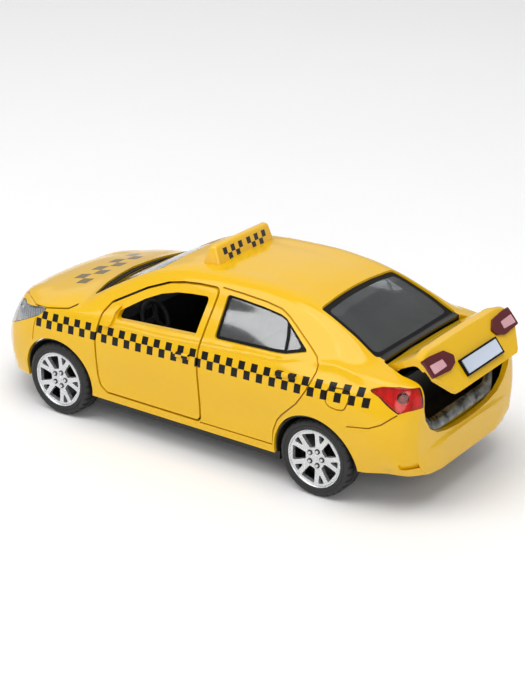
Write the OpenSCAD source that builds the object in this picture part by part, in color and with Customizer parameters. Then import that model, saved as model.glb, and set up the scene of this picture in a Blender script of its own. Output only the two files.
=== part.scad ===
// Toy taxi: a die-cast saloon with opening doors and boot, on a pull-back motor.
// Millimetres, +X to the front, +Y to the left, +Z up, ground at Z = 0.

/* [Body] */
// Overall length of the painted body
body_l = 117.5; // [108:0.5:128]
// Overall width of the painted body
body_w = 49; // [46:0.5:53]
// Height of the roof crown above the ground
roof_h = 40.4; // [38:0.2:43]
// Thickness of the cast body wall
wall = 1.2; // [1:0.1:1.4]
// Width of the shut lines around the doors and the boot lid
shut_gap = 0.5; // [0.45:0.05:0.6]
// Distance from the middle of the wheelbase forward to the middle of the body
nose_bias = 0.5; // [0:0.1:1]

/* [Wheels] */
// Distance between the axles as a share of the body length
wheelbase_share = 0.596; // [0.57:0.002:0.62]
// Distance of the outer faces of the tyres inside the widest part of the body
tyre_inset = 0.5; // [0.3:0.1:0.9]
// Outside diameter of the tyres
tyre_d = 17.3; // [16.5:0.1:18]
// Width of a tyre
tyre_w = 5.6; // [5:0.1:6.2]
// Height of the side wall of a tyre
sidewall = 2.15; // [1.9:0.05:2.4]
// Number of double spokes in a rim
spoke_n = 5; // [4:1:6]
// Diameter of the steel axles
axle_d = 1.8; // [1.5:0.1:2]
// Gap between a tyre and its wheel arch
arch_gap = 1.45; // [1.2:0.05:1.8]

/* [Doors and boot] */
// Angle at which the boot lid stands open in degrees
lid_open = 38; // [0:1:42]
// Diameter of the door hinge pins
door_pin_d = 0.8; // [0.6:0.1:0.9]
// Diameter of the boot hinge rod
lid_rod_d = 1; // [0.8:0.1:1.2]

/* [Chassis] */
// Height of the underside of the base plate above the ground
base_z = 5; // [4.5:0.1:5.4]
// Thickness of the base plate
base_t = 1.6; // [1.4:0.1:1.8]
// Thickness of the clear window moulding
glass_t = 1; // [0.8:0.1:1.2]
// Module of the motor gears
gear_m = 0.4; // [0.38:0.01:0.42]
// Number of teeth on the axle pinion
pinion_n = 12; // [12:1:14]
// Number of teeth on the spring gear
spring_n = 30; // [28:1:32]

/* [Roof sign] */
// Length of the roof sign across the car
sign_w = 20; // [18:0.5:22]
// Depth of the roof sign along the car
sign_d = 5.4; // [4.6:0.2:6.2]
// Height of the roof sign above its foot line
sign_h = 5.2; // [4.4:0.2:6]

/* [Hidden] */
$fn = 48;

// Clearance of a running shaft in its bore, on the radius
run_fit = 0.06;
// Clearance between pieces that are fixed to each other
seat_fit = 0.03;
// Overrun of every cutting solid
over = 1;

half_l = body_l / 2;
half_w = body_w / 2;
tyre_r = tyre_d / 2;
rim_r = tyre_r - sidewall;
arch_r = tyre_r + arch_gap;
wheelbase = body_l * wheelbase_share;
axle_r = axle_d / 2;

// Boot hinge: its place along the body, its height, and the foot of the closed lid
lid_axis_share = -0.824;
lid_axis_z_share = 0.72;
lid_foot_shares = [-0.987, 0.458];
lid_foot = [
    (lid_foot_shares[0] - lid_axis_share) * half_l,
    (lid_foot_shares[1] - lid_axis_z_share) * roof_h
];
// How far the open lid reaches past the rear bumper, which sets the middle of the whole object
lid_turned_x = lid_foot[0] * cos(lid_open) + lid_foot[1] * sin(lid_open);
lid_reach = -lid_axis_share * half_l - lid_turned_x - half_l;
body_mid_x = max(lid_reach, 0) / 2;

// Feature lines of the body, each row: share of the half length, of the half width, of the roof height.
sill_shares = [
    [1, 0.36, 0.2], [0.97, 0.55, 0.175], [0.91, 0.72, 0.168], [0.83, 0.87, 0.168], [0.71, 0.945, 0.176],
    [0.59, 0.968, 0.179], [-0.59, 0.972, 0.179], [-0.66, 0.96, 0.195], [-0.79, 0.935, 0.208],
    [-0.88, 0.865, 0.219], [-0.945, 0.79, 0.213], [-0.98, 0.68, 0.21], [-0.99, 0.64, 0.208],
    [-1, 0.455, 0.202]
];
flank_shares = [
    [1, 0.42, 0.3], [0.97, 0.6, 0.3], [0.91, 0.76, 0.3], [0.83, 0.915, 0.3], [0.71, 0.973, 0.3],
    [0.59, 0.998, 0.3], [0.4, 0.982, 0.3], [0.28, 0.98, 0.3], [-0.4, 0.985, 0.3], [-0.59, 1, 0.3],
    [-0.79, 0.988, 0.3], [-0.88, 0.958, 0.3], [-0.945, 0.9, 0.3], [-0.98, 0.8, 0.295],
    [-0.99, 0.76, 0.275], [-1, 0.54, 0.26]
];
crease_shares = [
    [1, 0.39, 0.36], [0.97, 0.56, 0.385], [0.91, 0.7, 0.44], [0.83, 0.88, 0.505], [0.71, 0.942, 0.578],
    [0.59, 0.958, 0.6], [0.5, 0.962, 0.605], [0.28, 0.966, 0.615], [-0.09, 0.968, 0.63],
    [-0.4, 0.976, 0.645], [-0.59, 0.984, 0.652], [-0.79, 0.965, 0.66], [-0.88, 0.935, 0.65],
    [-0.945, 0.87, 0.63], [-0.98, 0.76, 0.6], [-0.99, 0.7, 0.33], [-1, 0.5, 0.32]
];
belt_shares = [
    [1, 0.34, 0.385], [0.97, 0.46, 0.425], [0.91, 0.62, 0.5], [0.83, 0.825, 0.553], [0.71, 0.912, 0.61],
    [0.59, 0.93, 0.636], [0.5, 0.936, 0.648], [0.28, 0.93, 0.657], [-0.09, 0.926, 0.682],
    [-0.4, 0.925, 0.7], [-0.52, 0.91, 0.713], [-0.66, 0.89, 0.724], [-0.79, 0.875, 0.724],
    [-0.88, 0.85, 0.715], [-0.945, 0.8, 0.702], [-0.98, 0.69, 0.684], [-0.99, 0.66, 0.35], [-1, 0.45, 0.34]
];
rail_shares = [
    [1, 0.25, 0.405], [0.97, 0.34, 0.47], [0.91, 0.5, 0.555], [0.83, 0.71, 0.604], [0.71, 0.77, 0.642],
    [0.59, 0.795, 0.672], [0.5, 0.79, 0.69], [0.4, 0.725, 0.768], [0.28, 0.655, 0.857], [0.18, 0.61, 0.918],
    [0.06, 0.6, 0.957], [-0.09, 0.605, 0.972], [-0.25, 0.61, 0.975], [-0.4, 0.61, 0.958],
    [-0.52, 0.63, 0.918], [-0.66, 0.665, 0.838], [-0.79, 0.7, 0.752], [-0.88, 0.705, 0.733],
    [-0.945, 0.69, 0.72], [-0.98, 0.61, 0.703], [-0.99, 0.5, 0.37], [-1, 0.35, 0.355]
];
top_shares = [
    [1, 0.42], [0.97, 0.5], [0.91, 0.585], [0.83, 0.636], [0.71, 0.678], [0.59, 0.714], [0.5, 0.742],
    [0.4, 0.81], [0.28, 0.9], [0.18, 0.958], [0.06, 0.99], [-0.09, 1], [-0.25, 1], [-0.4, 0.986],
    [-0.52, 0.948], [-0.66, 0.864], [-0.79, 0.766], [-0.88, 0.745], [-0.945, 0.731], [-0.98, 0.714],
    [-0.99, 0.38], [-1, 0.36]
];
// Places of the cross-sections along the body
station_shares = [
    1, 0.97, 0.91, 0.83, 0.71, 0.59, 0.5, 0.4, 0.28, 0.18, 0.06, -0.09, -0.25, -0.4, -0.52, -0.66,
    -0.79, -0.88, -0.945, -0.98, -0.99, -1
];
// Outward bow of the side windows, and how the roof rises between its rail and its middle
bow_share = 0.018;
crown_shares = [0.55, 0.78];

// Side outlines, each point: share of the half length, share of the roof height
door_shares = [
    [0.37, 0.221], [0.385, 0.25], [0.39, 0.532], [0.378, 0.68], [0.357, 0.735], [0.221, 0.842],
    [0.128, 0.896], [0.06, 0.918], [-0.015, 0.931], [-0.114, 0.938], [-0.098, 0.636],
    [-0.106, 0.446], [-0.108, 0.25], [-0.095, 0.221]
];
door_window_shares = [
    [0.281, 0.671], [0.291, 0.723], [0.208, 0.79], [0.141, 0.834], [0.07, 0.862], [0.0068, 0.874],
    [-0.075, 0.884], [-0.0655, 0.6955]
];
rear_window_shares = [
    [-0.148, 0.916], [-0.216, 0.913], [-0.313, 0.903], [-0.388, 0.889], [-0.415, 0.876], [-0.529, 0.77],
    [-0.536, 0.757], [-0.454, 0.725], [-0.417, 0.72], [-0.148, 0.705]
];
headlamp_shares = [
    [0.641, 0.617], [0.671, 0.617], [0.774, 0.592], [0.817, 0.592], [0.9, 0.54], [0.96, 0.455], [1.02, 0.405],
    [1.02, 0.375], [0.93, 0.4], [0.853, 0.452], [0.764, 0.511], [0.681, 0.568]
];
tail_lamp_shares = [
    [-0.81, 0.675], [-0.858, 0.698], [-0.914, 0.705], [-0.951, 0.7], [-1.02, 0.695], [-1.02, 0.6],
    [-0.954, 0.593], [-0.93, 0.58], [-0.891, 0.618], [-0.855, 0.652]
];
// Side outline of the clear window moulding
canopy_shares = [
    [0.53, 0.69], [0.53, 1.1], [-0.775, 1.1], [-0.775, 0.73], [-0.57, 0.73], [-0.55, 0.7], [-0.1, 0.69]
];

// Screens seen from above, each point: share of the half length, share of the half width
windscreen_shares = [
    [0.535, 0], [0.51, 0.45], [0.478, 0.725], [0.29, 0.6], [0.2, 0.54], [0.185, 0.3], [0.18, 0]
];
rear_screen_shares = [
    [-0.505, 0], [-0.508, 0.35], [-0.515, 0.575], [-0.66, 0.615], [-0.772, 0.65], [-0.778, 0]
];
// Height from which the screen openings are cut upwards
screen_foot_share = 0.6;

// Boot lid seen from above and from behind
lid_top_shares = [[-0.812, 0], [-0.812, 0.63], [-0.9, 0.7], [-1.1, 0.715], [-1.1, 0]];
lid_back_shares = [[0, 0.9], [0.715, 0.9], [0.715, 0.6], [0.54, 0.473], [0.5, 0.458], [0, 0.458]];
// Mouth of the boot in the shell seen from behind, which leaves a ledge on the bumper below the lid
mouth_shares = [[0, 0.9], [0.715, 0.9], [0.715, 0.6], [0.655, 0.43], [0.58, 0.393], [0, 0.389]];
// Inner lamp of the boot lid seen from behind
lid_lamp_shares = [[0.675, 0.647], [0.44, 0.652], [0.345, 0.61], [0.36, 0.565], [0.45, 0.555], [0.675, 0.57]];

function x_at(share) = body_mid_x + share * half_l;
function y_at(share) = share * half_w;
function z_at(share) = share * roof_h;
function xz_points(shares) = [for (p = shares) [x_at(p[0]), z_at(p[1])]];
function xy_points(shares) = [for (p = shares) [x_at(p[0]), y_at(p[1])]];
function yz_points(shares) = [for (p = shares) [y_at(p[0]), z_at(p[1])]];
function both_halves(points) = concat(
    points, [for (i = [len(points) - 2 : -1 : 1]) [points[i][0], -points[i][1]]]
);
function both_sides(points) = concat(
    points, [for (i = [len(points) - 2 : -1 : 1]) [-points[i][0], points[i][1]]]
);

// Offset of a closed outline, square to its edges; positive values grow it
function total(values, i = 0) = i < len(values) ? values[i] + total(values, i + 1) : 0;
function turning(points) = let (n = len(points)) sign(total([
    for (i = [0 : n - 1]) cross(points[i], points[(i + 1) % n])
]));
function edge_normal(a, b) = let (d = b - a) [d[1], -d[0]] / norm(d);
function grown(points, by) = let (n = len(points), out = by * turning(points)) [
    for (i = [0 : n - 1])
        let (
            before = edge_normal(points[(i + n - 1) % n], points[i]),
            after = edge_normal(points[i], points[(i + 1) % n])
        ) points[i] + out * (before + after) / (1 + before * after)
];

// One feature line at a station
function line_at(shares, s) = [
    y_at(lookup(s, [for (r = shares) [r[0], r[1]]])),
    z_at(lookup(s, [for (r = shares) [r[0], r[2]]]))
];
// Left half of a section, from the sill over the flank to the middle of the roof
function half_section(s) =
    let (
        belt = line_at(belt_shares, s),
        rail = line_at(rail_shares, s),
        crown = z_at(lookup(s, top_shares)),
        pillar = (belt + rail) / 2,
        rise = norm(rail - belt)
    ) [
        line_at(sill_shares, s),
        line_at(flank_shares, s),
        line_at(crease_shares, s),
        belt,
        pillar + [1, 1] * bow_share * rise,
        rail,
        [rail[0] * crown_shares[0], rail[1] + (crown - rail[1]) * crown_shares[1]],
        [0, crown]
    ];
// A half section moved inwards by a wall, and its foot lowered
function moved_half(half, inset, drop) = let (last = len(half) - 1) [
    for (i = [0 : last])
        let (
            step = half[min(i + 1, last)] - half[max(i - 1, 0)],
            out = i == 0 ? [1, 0] : i == last ? [0, 1] : [step[1], -step[0]] / norm(step)
        ) half[i] - inset * out - (i == 0 ? [0, drop] : [0, 0])
];

// Solid of the body outline, moved inwards by inset, between two stations
module body_loft(inset, drop, first, last) {
    squeeze = (half_l - inset) / half_l;
    rows = [
        for (i = [first : last])
            let (s = station_shares[i], half = moved_half(half_section(s), inset, drop))
            concat(
                [for (p = half) [x_at(s * squeeze), p[0], p[1]]],
                [for (k = [len(half) - 2 : -1 : 0]) [x_at(s * squeeze), -half[k][0], half[k][1]]]
            )
    ];
    m = len(rows[0]);
    n = len(rows);
    left = (m - 1) / 2;
    polyhedron(
        points = [for (row = rows) each row],
        faces = concat(
            [[for (j = [m - 1 : -1 : 0]) j]],
            [[for (j = [0 : m - 1]) (n - 1) * m + j]],
            [for (i = [0 : n - 2], j = [0 : left - 1]) [for (k = [j, j + 1, m + j + 1]) i * m + k]],
            [for (i = [0 : n - 2], j = [0 : left - 1]) [for (k = [j, m + j + 1, m + j]) i * m + k]],
            [for (i = [0 : n - 2], j = [left : m - 1]) [for (k = [j, (j + 1) % m, m + j]) i * m + k]],
            [for (i = [0 : n - 2], j = [left : m - 1], next = [(j + 1) % m])
                [for (k = [next, m + next, m + j]) i * m + k]]
        )
    );
}

// Skin of the body between two depths, over the stations from first to last
module body_skin(outside, inside, first, last) {
    difference() {
        body_loft(outside, 0, first, last);
        body_loft(inside, over, max(first - 1, 0), min(last + 1, len(station_shares) - 1));
    }
}
// Solids extruded from an outline, along one axis, between two places
module along_y(points, from, to) {
    translate([0, to, 0]) rotate([90, 0, 0]) linear_extrude(to - from) polygon(points);
}
module along_x(points, from, to) {
    translate([from, 0, 0]) rotate([90, 0, 90]) linear_extrude(to - from) polygon(points);
}
module along_z(points, from, to) {
    translate([0, 0, from]) linear_extrude(to - from) polygon(points);
}
module block(low, high) {
    translate(low) cube(high - low);
}
module both_flanks() {
    children();
    mirror([0, 1, 0]) children();
}
last_station = len(station_shares) - 1;
high_z = roof_h + over;
side_out = half_w + over;
nose_x = body_mid_x + half_l;
rear_end_x = body_mid_x - half_l;

// Places of the wheels
front_x = body_mid_x - nose_bias + wheelbase / 2;
rear_x = front_x - wheelbase;
wheel_y = half_w - tyre_inset;
// Room around the wheels, and the half width that is free between them
well_gap = 1.2;
between_half_w = wheel_y - tyre_w - well_gap;

// Pull-back motor: gear teeth, case, and the place of the spring gear ahead of and above the axle
pressure_angle = 25;
addendum_share = 0.9;
dedendum_share = 1.2;
tooth_share = 0.9;
mesh_angle = 26;
mesh_slack = 0.04;
gear_t = 2.4;
case_gap = 0.3;
case_t = 0.6;
case_half_w = 5;
pinion_tip_r = gear_m * (pinion_n / 2 + addendum_share);
spring_tip_r = gear_m * (spring_n / 2 + addendum_share);
case_axle_r = pinion_tip_r + case_gap + case_t;
case_spring_r = spring_tip_r + case_gap + case_t;
mesh_l = gear_m * (pinion_n + spring_n) / 2 + mesh_slack;
spring_at = [rear_x + mesh_l * cos(mesh_angle), tyre_r + mesh_l * sin(mesh_angle)];
arbor_r = 0.75;
arbor_half = case_half_w;

// Door hinge: its place, and the lugs that carry its pin
door_axis_share = 0.333;
door_pin_depth = 1.4;
door_axis_x = x_at(door_axis_share);
door_axis_y = line_at(flank_shares, door_axis_share)[0] - door_pin_depth;
door_pin_r = door_pin_d / 2;
lug_wall = 0.3;
lug_r = door_pin_r + lug_wall;
lug_t = 1.4;
lug_gap = 0.25;
column_r = lug_r + lug_wall / 2;
neck_w = 1;
lug_z_shares = [0.275, 0.386];
column_z_shares = [0.235, 0.47];
lug_z = [for (share = lug_z_shares) z_at(share)];
column_z = [for (share = column_z_shares) z_at(share)];

// Side windows and doors reach inwards to this depth
door_depth_share = 0.4;
door_in = y_at(door_depth_share);

module door_opening(by) {
    along_y(grown(xz_points(door_shares), by), door_in, side_out);
}
module left_door_panel() {
    difference() {
        union() {
            intersection() {
                body_skin(0, wall, 5, 13);
                door_opening(-shut_gap);
            }
            translate([door_axis_x, door_axis_y, column_z[0]])
                cylinder(r = column_r, h = column_z[1] - column_z[0]);
        }
        along_y(xz_points(door_window_shares), door_in, side_out);
        translate([door_axis_x, door_axis_y, column_z[0] - over])
            cylinder(r = door_pin_r + run_fit, h = column_z[1] - column_z[0] + 2 * over);
        for (z = lug_z)
            translate([door_axis_x, door_axis_y, z - lug_gap])
                cylinder(r = lug_r + lug_gap, h = lug_t + 2 * lug_gap);
    }
}
module left_door() {
    color("gold") left_door_panel();
}
module right_door() {
    color("gold") mirror([0, 1, 0]) left_door_panel();
}
module door_pin() {
    translate([door_axis_x, door_axis_y, column_z[0]])
        cylinder(r = door_pin_r, h = column_z[1] - column_z[0]);
}
module left_door_pin() {
    color("silver") door_pin();
}
module right_door_pin() {
    color("silver") mirror([0, 1, 0]) door_pin();
}

// Boot lid: region of the body skin that it takes, seen from above and from behind
lid_axis = [x_at(lid_axis_share), 0, z_at(lid_axis_z_share)];
lid_rod_r = lid_rod_d / 2;
lid_knuckle_wall = 0.5;
lid_knuckle_r = lid_rod_r + lid_knuckle_wall;
// Room ahead of the lid, in which its front edge swings
lid_front_gap = 1.1;
lid_knuckle_share = 0.63;
lid_half_w = y_at(lid_knuckle_share);
ear_t = 1.4;
ear_wall = 0.7;
ear_r = lid_rod_r + ear_wall;
ear_y = lid_half_w + lid_front_gap;
// Front limit of the cut seen from behind
lid_cut_share = -0.7;

module lid_region(back_shares, by, front) {
    intersection() {
        translate([front, 0, 0])
            along_z(grown(both_halves(xy_points(lid_top_shares)), by), 0, high_z);
        along_x(grown(both_sides(yz_points(back_shares)), by), rear_end_x - over, x_at(lid_cut_share));
    }
}
module swung_lid() {
    translate(lid_axis) rotate([0, lid_open, 0]) translate(-lid_axis) children();
}
module boot_lid() {
    color("gold") swung_lid() difference() {
        union() {
            intersection() {
                body_skin(0, wall, 15, last_station);
                lid_region(lid_back_shares, 0, 0);
            }
            translate([lid_axis[0], lid_half_w - shut_gap, lid_axis[2]])
                rotate([90, 0, 0]) cylinder(r = lid_knuckle_r, h = 2 * (lid_half_w - shut_gap));
        }
        translate([lid_axis[0], half_w, lid_axis[2]])
            rotate([90, 0, 0]) cylinder(r = lid_rod_r + seat_fit, h = 2 * half_w);
    }
}
rod_half = ear_y + ear_t;
module boot_hinge_rod() {
    color("silver") translate([lid_axis[0], rod_half, lid_axis[2]])
        rotate([90, 0, 0]) cylinder(r = lid_rod_r, h = 2 * rod_half);
}
lid_lamp_t = 0.5;
lid_lamp_front_share = -0.93;
module lid_lamp() {
    swung_lid() intersection() {
        body_skin(-lid_lamp_t, 0, 18, last_station);
        along_x(yz_points(lid_lamp_shares), rear_end_x - over, x_at(lid_lamp_front_share));
    }
}
module left_lid_lamp() {
    color("firebrick") lid_lamp();
}
module right_lid_lamp() {
    color("firebrick") mirror([0, 1, 0]) lid_lamp();
}
// Number plate: half width, height of its middle, half height
plate_half_w = 7;
plate_half_h = 1.5;
plate_rim = 0.4;
plate_z_share = 0.545;
plate_z = z_at(plate_z_share);
frame_out = 0.6;
plate_out = 0.2;
module plate_slab(half_width, half_height, outside, inside) {
    swung_lid() difference() {
        block(
            [x_at(lid_foot_shares[0]) - outside, -half_width, plate_z - half_height],
            [x_at(lid_foot_shares[0]) - inside, half_width, plate_z + half_height]
        );
        body_loft(0, 0, 17, last_station);
    }
}
module plate_frame() {
    color("black") plate_slab(plate_half_w + plate_rim, plate_half_h + plate_rim, frame_out, -over);
}
module number_plate() {
    color("white") plate_slab(plate_half_w, plate_half_h, frame_out + plate_out, frame_out);
}

// Body shell: one casting, open below, with its posts, hinge ears and rear sill panel
post_r = 2.2;
post_bore_r = 0.9;
front_post_share = 0.78;
rear_post_share = -0.79;
front_post_top_share = 0.62;
front_post_x = x_at(front_post_share);
rear_post_x = x_at(rear_post_share);
base_top = base_z + base_t;
tray_z_share = 0.322;
tray_z = z_at(tray_z_share);
web_z_share = 0.24;
web_x_share = -0.985;
sill_panel_share = -0.936;
sill_panel_x = x_at(sill_panel_share);
sill_panel_t = 1;
sill_panel_top_share = 0.505;
sill_panel_top = z_at(sill_panel_top_share);
sill_panel_half_share = 0.56;
sill_panel_half_w = y_at(sill_panel_half_share);
sill_floor_share = -0.99;
lamp_in_share = 0.735;
lamp_in = y_at(lamp_in_share);
headlamp_in_share = 0.42;
headlamp_in = y_at(headlamp_in_share);
grille_shares = [[0, 0.39], [0.34, 0.385], [0.37, 0.345], [0, 0.335]];
intake_shares = [[0, 0.3], [0.4, 0.3], [0.48, 0.225], [0, 0.225]];
front_cut_share = 0.86;

module side_lamp_region(shares, inside) {
    along_y(xz_points(shares), inside, side_out);
}
module front_slots(by) {
    for (shares = [grille_shares, intake_shares])
        along_x(grown(both_sides(yz_points(shares)), by), x_at(front_cut_share), nose_x + over);
}
module wheel_arch(x) {
    translate([x, side_out, tyre_r]) rotate([90, 0, 0]) cylinder(r = arch_r, h = 2 * side_out, $fn = 64);
}
module body_shell() {
    color("gold") {
        difference() {
            union() {
                cut_skin();
                intersection() {
                    both_flanks() hinge_ear();
                    body_loft(seat_fit, 0, 15, 18);
                }
            }
            translate([lid_axis[0], rod_half + seat_fit, lid_axis[2]])
                rotate([90, 0, 0]) cylinder(r = lid_rod_r + run_fit, h = 2 * (rod_half + seat_fit));
        }
        post(front_post_x, z_at(front_post_top_share));
        rear_post();
        rear_sill_panel();
    }
}
// Painted skin with every opening
module cut_skin() {
    difference() {
        body_loft(0, 0, 0, last_station);
        body_loft(wall, over, 0, last_station);
        both_flanks() {
            door_opening(0);
            along_y(xz_points(rear_window_shares), door_in, side_out);
            side_lamp_region(tail_lamp_shares, lamp_in);
            side_lamp_region(headlamp_shares, headlamp_in);
        }
        along_z(both_halves(xy_points(windscreen_shares)), z_at(screen_foot_share), high_z);
        along_z(both_halves(xy_points(rear_screen_shares)), z_at(screen_foot_share), high_z);
        lid_region(mouth_shares, shut_gap, lid_front_gap - shut_gap);
        wheel_arch(front_x);
        wheel_arch(rear_x);
        front_slots(0);
    }
}
module hinge_ear() {
    translate([lid_axis[0], ear_y + ear_t, lid_axis[2]])
        rotate([90, 0, 0]) cylinder(r = ear_r, h = ear_t);
    block(
        [lid_axis[0] - ear_r, ear_y, lid_axis[2]],
        [lid_axis[0] + ear_r, ear_y + ear_t, lid_axis[2] + ear_r]
    );
}
module post(x, top) {
    difference() {
        translate([x, 0, base_top]) cylinder(r = post_r, h = top - base_top);
        translate([x, 0, base_z]) cylinder(r = post_bore_r, h = screw_l + over);
    }
}
module rear_post() {
    post(rear_post_x, tray_z);
    difference() {
        block([x_at(web_x_share), -post_r, z_at(web_z_share)], [rear_post_x, post_r, tray_z]);
        translate([rear_post_x, 0, base_top]) cylinder(r = post_r, h = tray_z);
    }
}
module rear_sill_panel() {
    block(
        [sill_panel_x - sill_panel_t, -sill_panel_half_w, tray_z],
        [sill_panel_x, sill_panel_half_w, sill_panel_top]
    );
    block(
        [x_at(sill_floor_share), -sill_panel_half_w, tray_z],
        [sill_panel_x, sill_panel_half_w, tray_z + sill_panel_t]
    );
}

// Lamps let into the shell
module tail_lamp() {
    intersection() {
        body_skin(0, wall, 15, last_station);
        side_lamp_region(tail_lamp_shares, lamp_in + seat_fit);
    }
}
module left_tail_lamp() {
    color("red") tail_lamp();
}
module right_tail_lamp() {
    color("red") mirror([0, 1, 0]) tail_lamp();
}
module headlamp() {
    intersection() {
        body_skin(0, wall, 0, 6);
        side_lamp_region(headlamp_shares, headlamp_in + seat_fit);
    }
}
module left_headlamp() {
    color("lightgrey") headlamp();
}
module right_headlamp() {
    color("lightgrey") mirror([0, 1, 0]) headlamp();
}
// Grille: a sheet behind the two front slots, with bars standing in them
grille_t = 1;
grille_sheet_shares = [[0, 0.405], [0.42, 0.405], [0.56, 0.21], [0, 0.21]];
bar_t = 0.4;
bar_depth = 0.5;
bar_z_shares = [0.245, 0.262, 0.279, 0.362];
module front_grille() {
    color("black") {
        intersection() {
            body_skin(wall + seat_fit, wall + grille_t, 0, 4);
            along_x(both_sides(yz_points(grille_sheet_shares)), x_at(front_cut_share), nose_x + over);
        }
        for (share = bar_z_shares)
            intersection() {
                body_skin(bar_depth, wall + grille_t / 2, 0, 4);
                front_slots(-seat_fit);
                block(
                    [x_at(front_cut_share), -side_out, z_at(share) - bar_t / 2],
                    [nose_x + over, side_out, z_at(share) + bar_t / 2]
                );
            }
    }
}

// Clear window moulding: screens, rear side windows and the sheet under the roof
glass_in = wall + seat_fit;
module window_insert() {
    color("lightblue", 0.4) difference() {
        intersection() {
            body_skin(glass_in, glass_in + glass_t, 5, 17);
            along_y(xz_points(canopy_shares), -side_out, side_out);
        }
        both_flanks() door_opening(wall);
    }
}

// Roof sign, seated on the crown of the roof
sign_x_share = 0.012;
sign_x = x_at(sign_x_share);
sign_lean_share = 0.3;
sign_end_share = 0.97;
sign_foot_share = 0.955;
sign_foot_z = z_at(sign_foot_share);
module roof_sign() {
    color("gold") difference() {
        hull() {
            block(
                [sign_x - sign_d / 2, -sign_w / 2, sign_foot_z - over],
                [sign_x + sign_d / 2, sign_w / 2, sign_foot_z]
            );
            block(
                [sign_x - sign_d / 2 * sign_lean_share, -sign_w / 2 * sign_end_share, sign_foot_z],
                [sign_x + sign_d / 2 * sign_lean_share, sign_w / 2 * sign_end_share, sign_foot_z + sign_h]
            );
        }
        body_loft(0, 0, 8, 13);
    }
}

// Boot tray and the bright strip on the rear sill
tray_t = 1;
tray_half_share = 0.62;
tray_half_w = y_at(tray_half_share);
tray_front_share = -0.79;
tray_front_x = x_at(tray_front_share);
tray_rear_x = sill_panel_x + seat_fit;
tray_wall_share = 0.6;
tray_wall_z = z_at(tray_wall_share);
module boot_tray() {
    color("dimgray") difference() {
        block(
            [tray_rear_x, -tray_half_w, tray_z + sill_panel_t],
            [tray_front_x, tray_half_w, tray_wall_z]
        );
        block(
            [tray_rear_x - over, tray_t - tray_half_w, tray_z + sill_panel_t + tray_t],
            [tray_front_x - tray_t, tray_half_w - tray_t, tray_wall_z + over]
        );
    }
}
// The strip turns up at both ends of the sill
strip_t = 0.6;
strip_rise_shares = [[0, 0], [0.56, 0], [0.64, 0.09]];
module boot_sill_strip() {
    low = [for (p = strip_rise_shares) [y_at(p[0]), sill_panel_top + z_at(p[1])]];
    high = [low[2] - [strip_t, 0], low[1] + [-strip_t / 2, strip_t], low[0] + [0, strip_t]];
    color("silver") along_x(
        both_sides(concat(low, high)),
        sill_panel_x - sill_panel_t, sill_panel_x
    );
}

// Cabin: tub with the hinge lugs, seats, bench, dashboard and steering wheel
tub_t = 1.2;
tub_half_share = 0.755;
tub_half_w = y_at(tub_half_share);
// Ahead of this place the tub is narrow, to clear the front wheels
tub_neck_x = front_x - tyre_r - well_gap;
tub_front_share = 0.475;
tub_rear_share = -0.3;
tub_front_x = x_at(tub_front_share);
tub_rear_x = x_at(tub_rear_share);
tub_floor = base_top + tub_t;
tub_wall_share = 0.3;
tub_wall_z = z_at(tub_wall_share);
hinge_post_l = 3;
module hinge_lugs() {
    difference() {
        union() {
            block(
                [door_axis_x - hinge_post_l / 2, tub_half_w - tub_t, base_top],
                [door_axis_x + hinge_post_l / 2, tub_half_w, lug_z[1] + lug_t]
            );
            for (z = lug_z) {
                translate([door_axis_x, door_axis_y, z]) cylinder(r = lug_r, h = lug_t);
                block(
                    [door_axis_x - neck_w / 2, tub_half_w - tub_t, z],
                    [door_axis_x + neck_w / 2, door_axis_y, z + lug_t]
                );
            }
        }
        translate([door_axis_x, door_axis_y, base_top])
            cylinder(r = door_pin_r + seat_fit, h = lug_z[1] + lug_t);
    }
}
tub_points = [
    [tub_rear_x, 0], [tub_rear_x, tub_half_w], [tub_neck_x, tub_half_w],
    [tub_neck_x, between_half_w], [tub_front_x, between_half_w], [tub_front_x, 0]
];
module interior_tub() {
    color("dimgray") {
        difference() {
            along_z(both_halves(tub_points), base_top, tub_wall_z);
            along_z(grown(both_halves(tub_points), -tub_t), tub_floor, tub_wall_z + over);
        }
        both_flanks() hinge_lugs();
    }
}
seat_y_share = 0.38;
seat_half_share = 0.27;
seat_y = y_at(seat_y_share);
seat_half_w = y_at(seat_half_share);
headrest_half_w = seat_half_w / 2;
// Side outlines of a seat, each point: share of the half length, share of the roof height
seat_shares = [
    [0.19, 0.25], [0.21, 0.275], [0.225, 0.33], [0.21, 0.365], [0.15, 0.36], [0.03, 0.335], [-0.055, 0.67],
    [-0.075, 0.7], [-0.1, 0.705], [-0.115, 0.68], [-0.11, 0.6], [-0.03, 0.29], [0, 0.25]
];
headrest_shares = [
    [-0.07, 0.72], [-0.075, 0.81], [-0.09, 0.84], [-0.11, 0.835], [-0.118, 0.8], [-0.108, 0.72]
];
stalk_shares = [[-0.082, 0.68], [-0.085, 0.74], [-0.1, 0.74], [-0.097, 0.68]];
seat_foot_shares = [0.02, 0.17];
module seat() {
    translate([0, seat_y, 0]) {
        along_y(xz_points(seat_shares), -seat_half_w, seat_half_w);
        along_y(xz_points(headrest_shares), -headrest_half_w, headrest_half_w);
        along_y(xz_points(stalk_shares), -headrest_half_w / 2, headrest_half_w / 2);
        block(
            [x_at(seat_foot_shares[0]), -headrest_half_w, tub_floor],
            [x_at(seat_foot_shares[1]), headrest_half_w, z_at(seat_shares[1][1])]
        );
    }
}
module left_seat() {
    color("darkslategray") seat();
}
module right_seat() {
    color("darkslategray") mirror([0, 1, 0]) seat();
}
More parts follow.
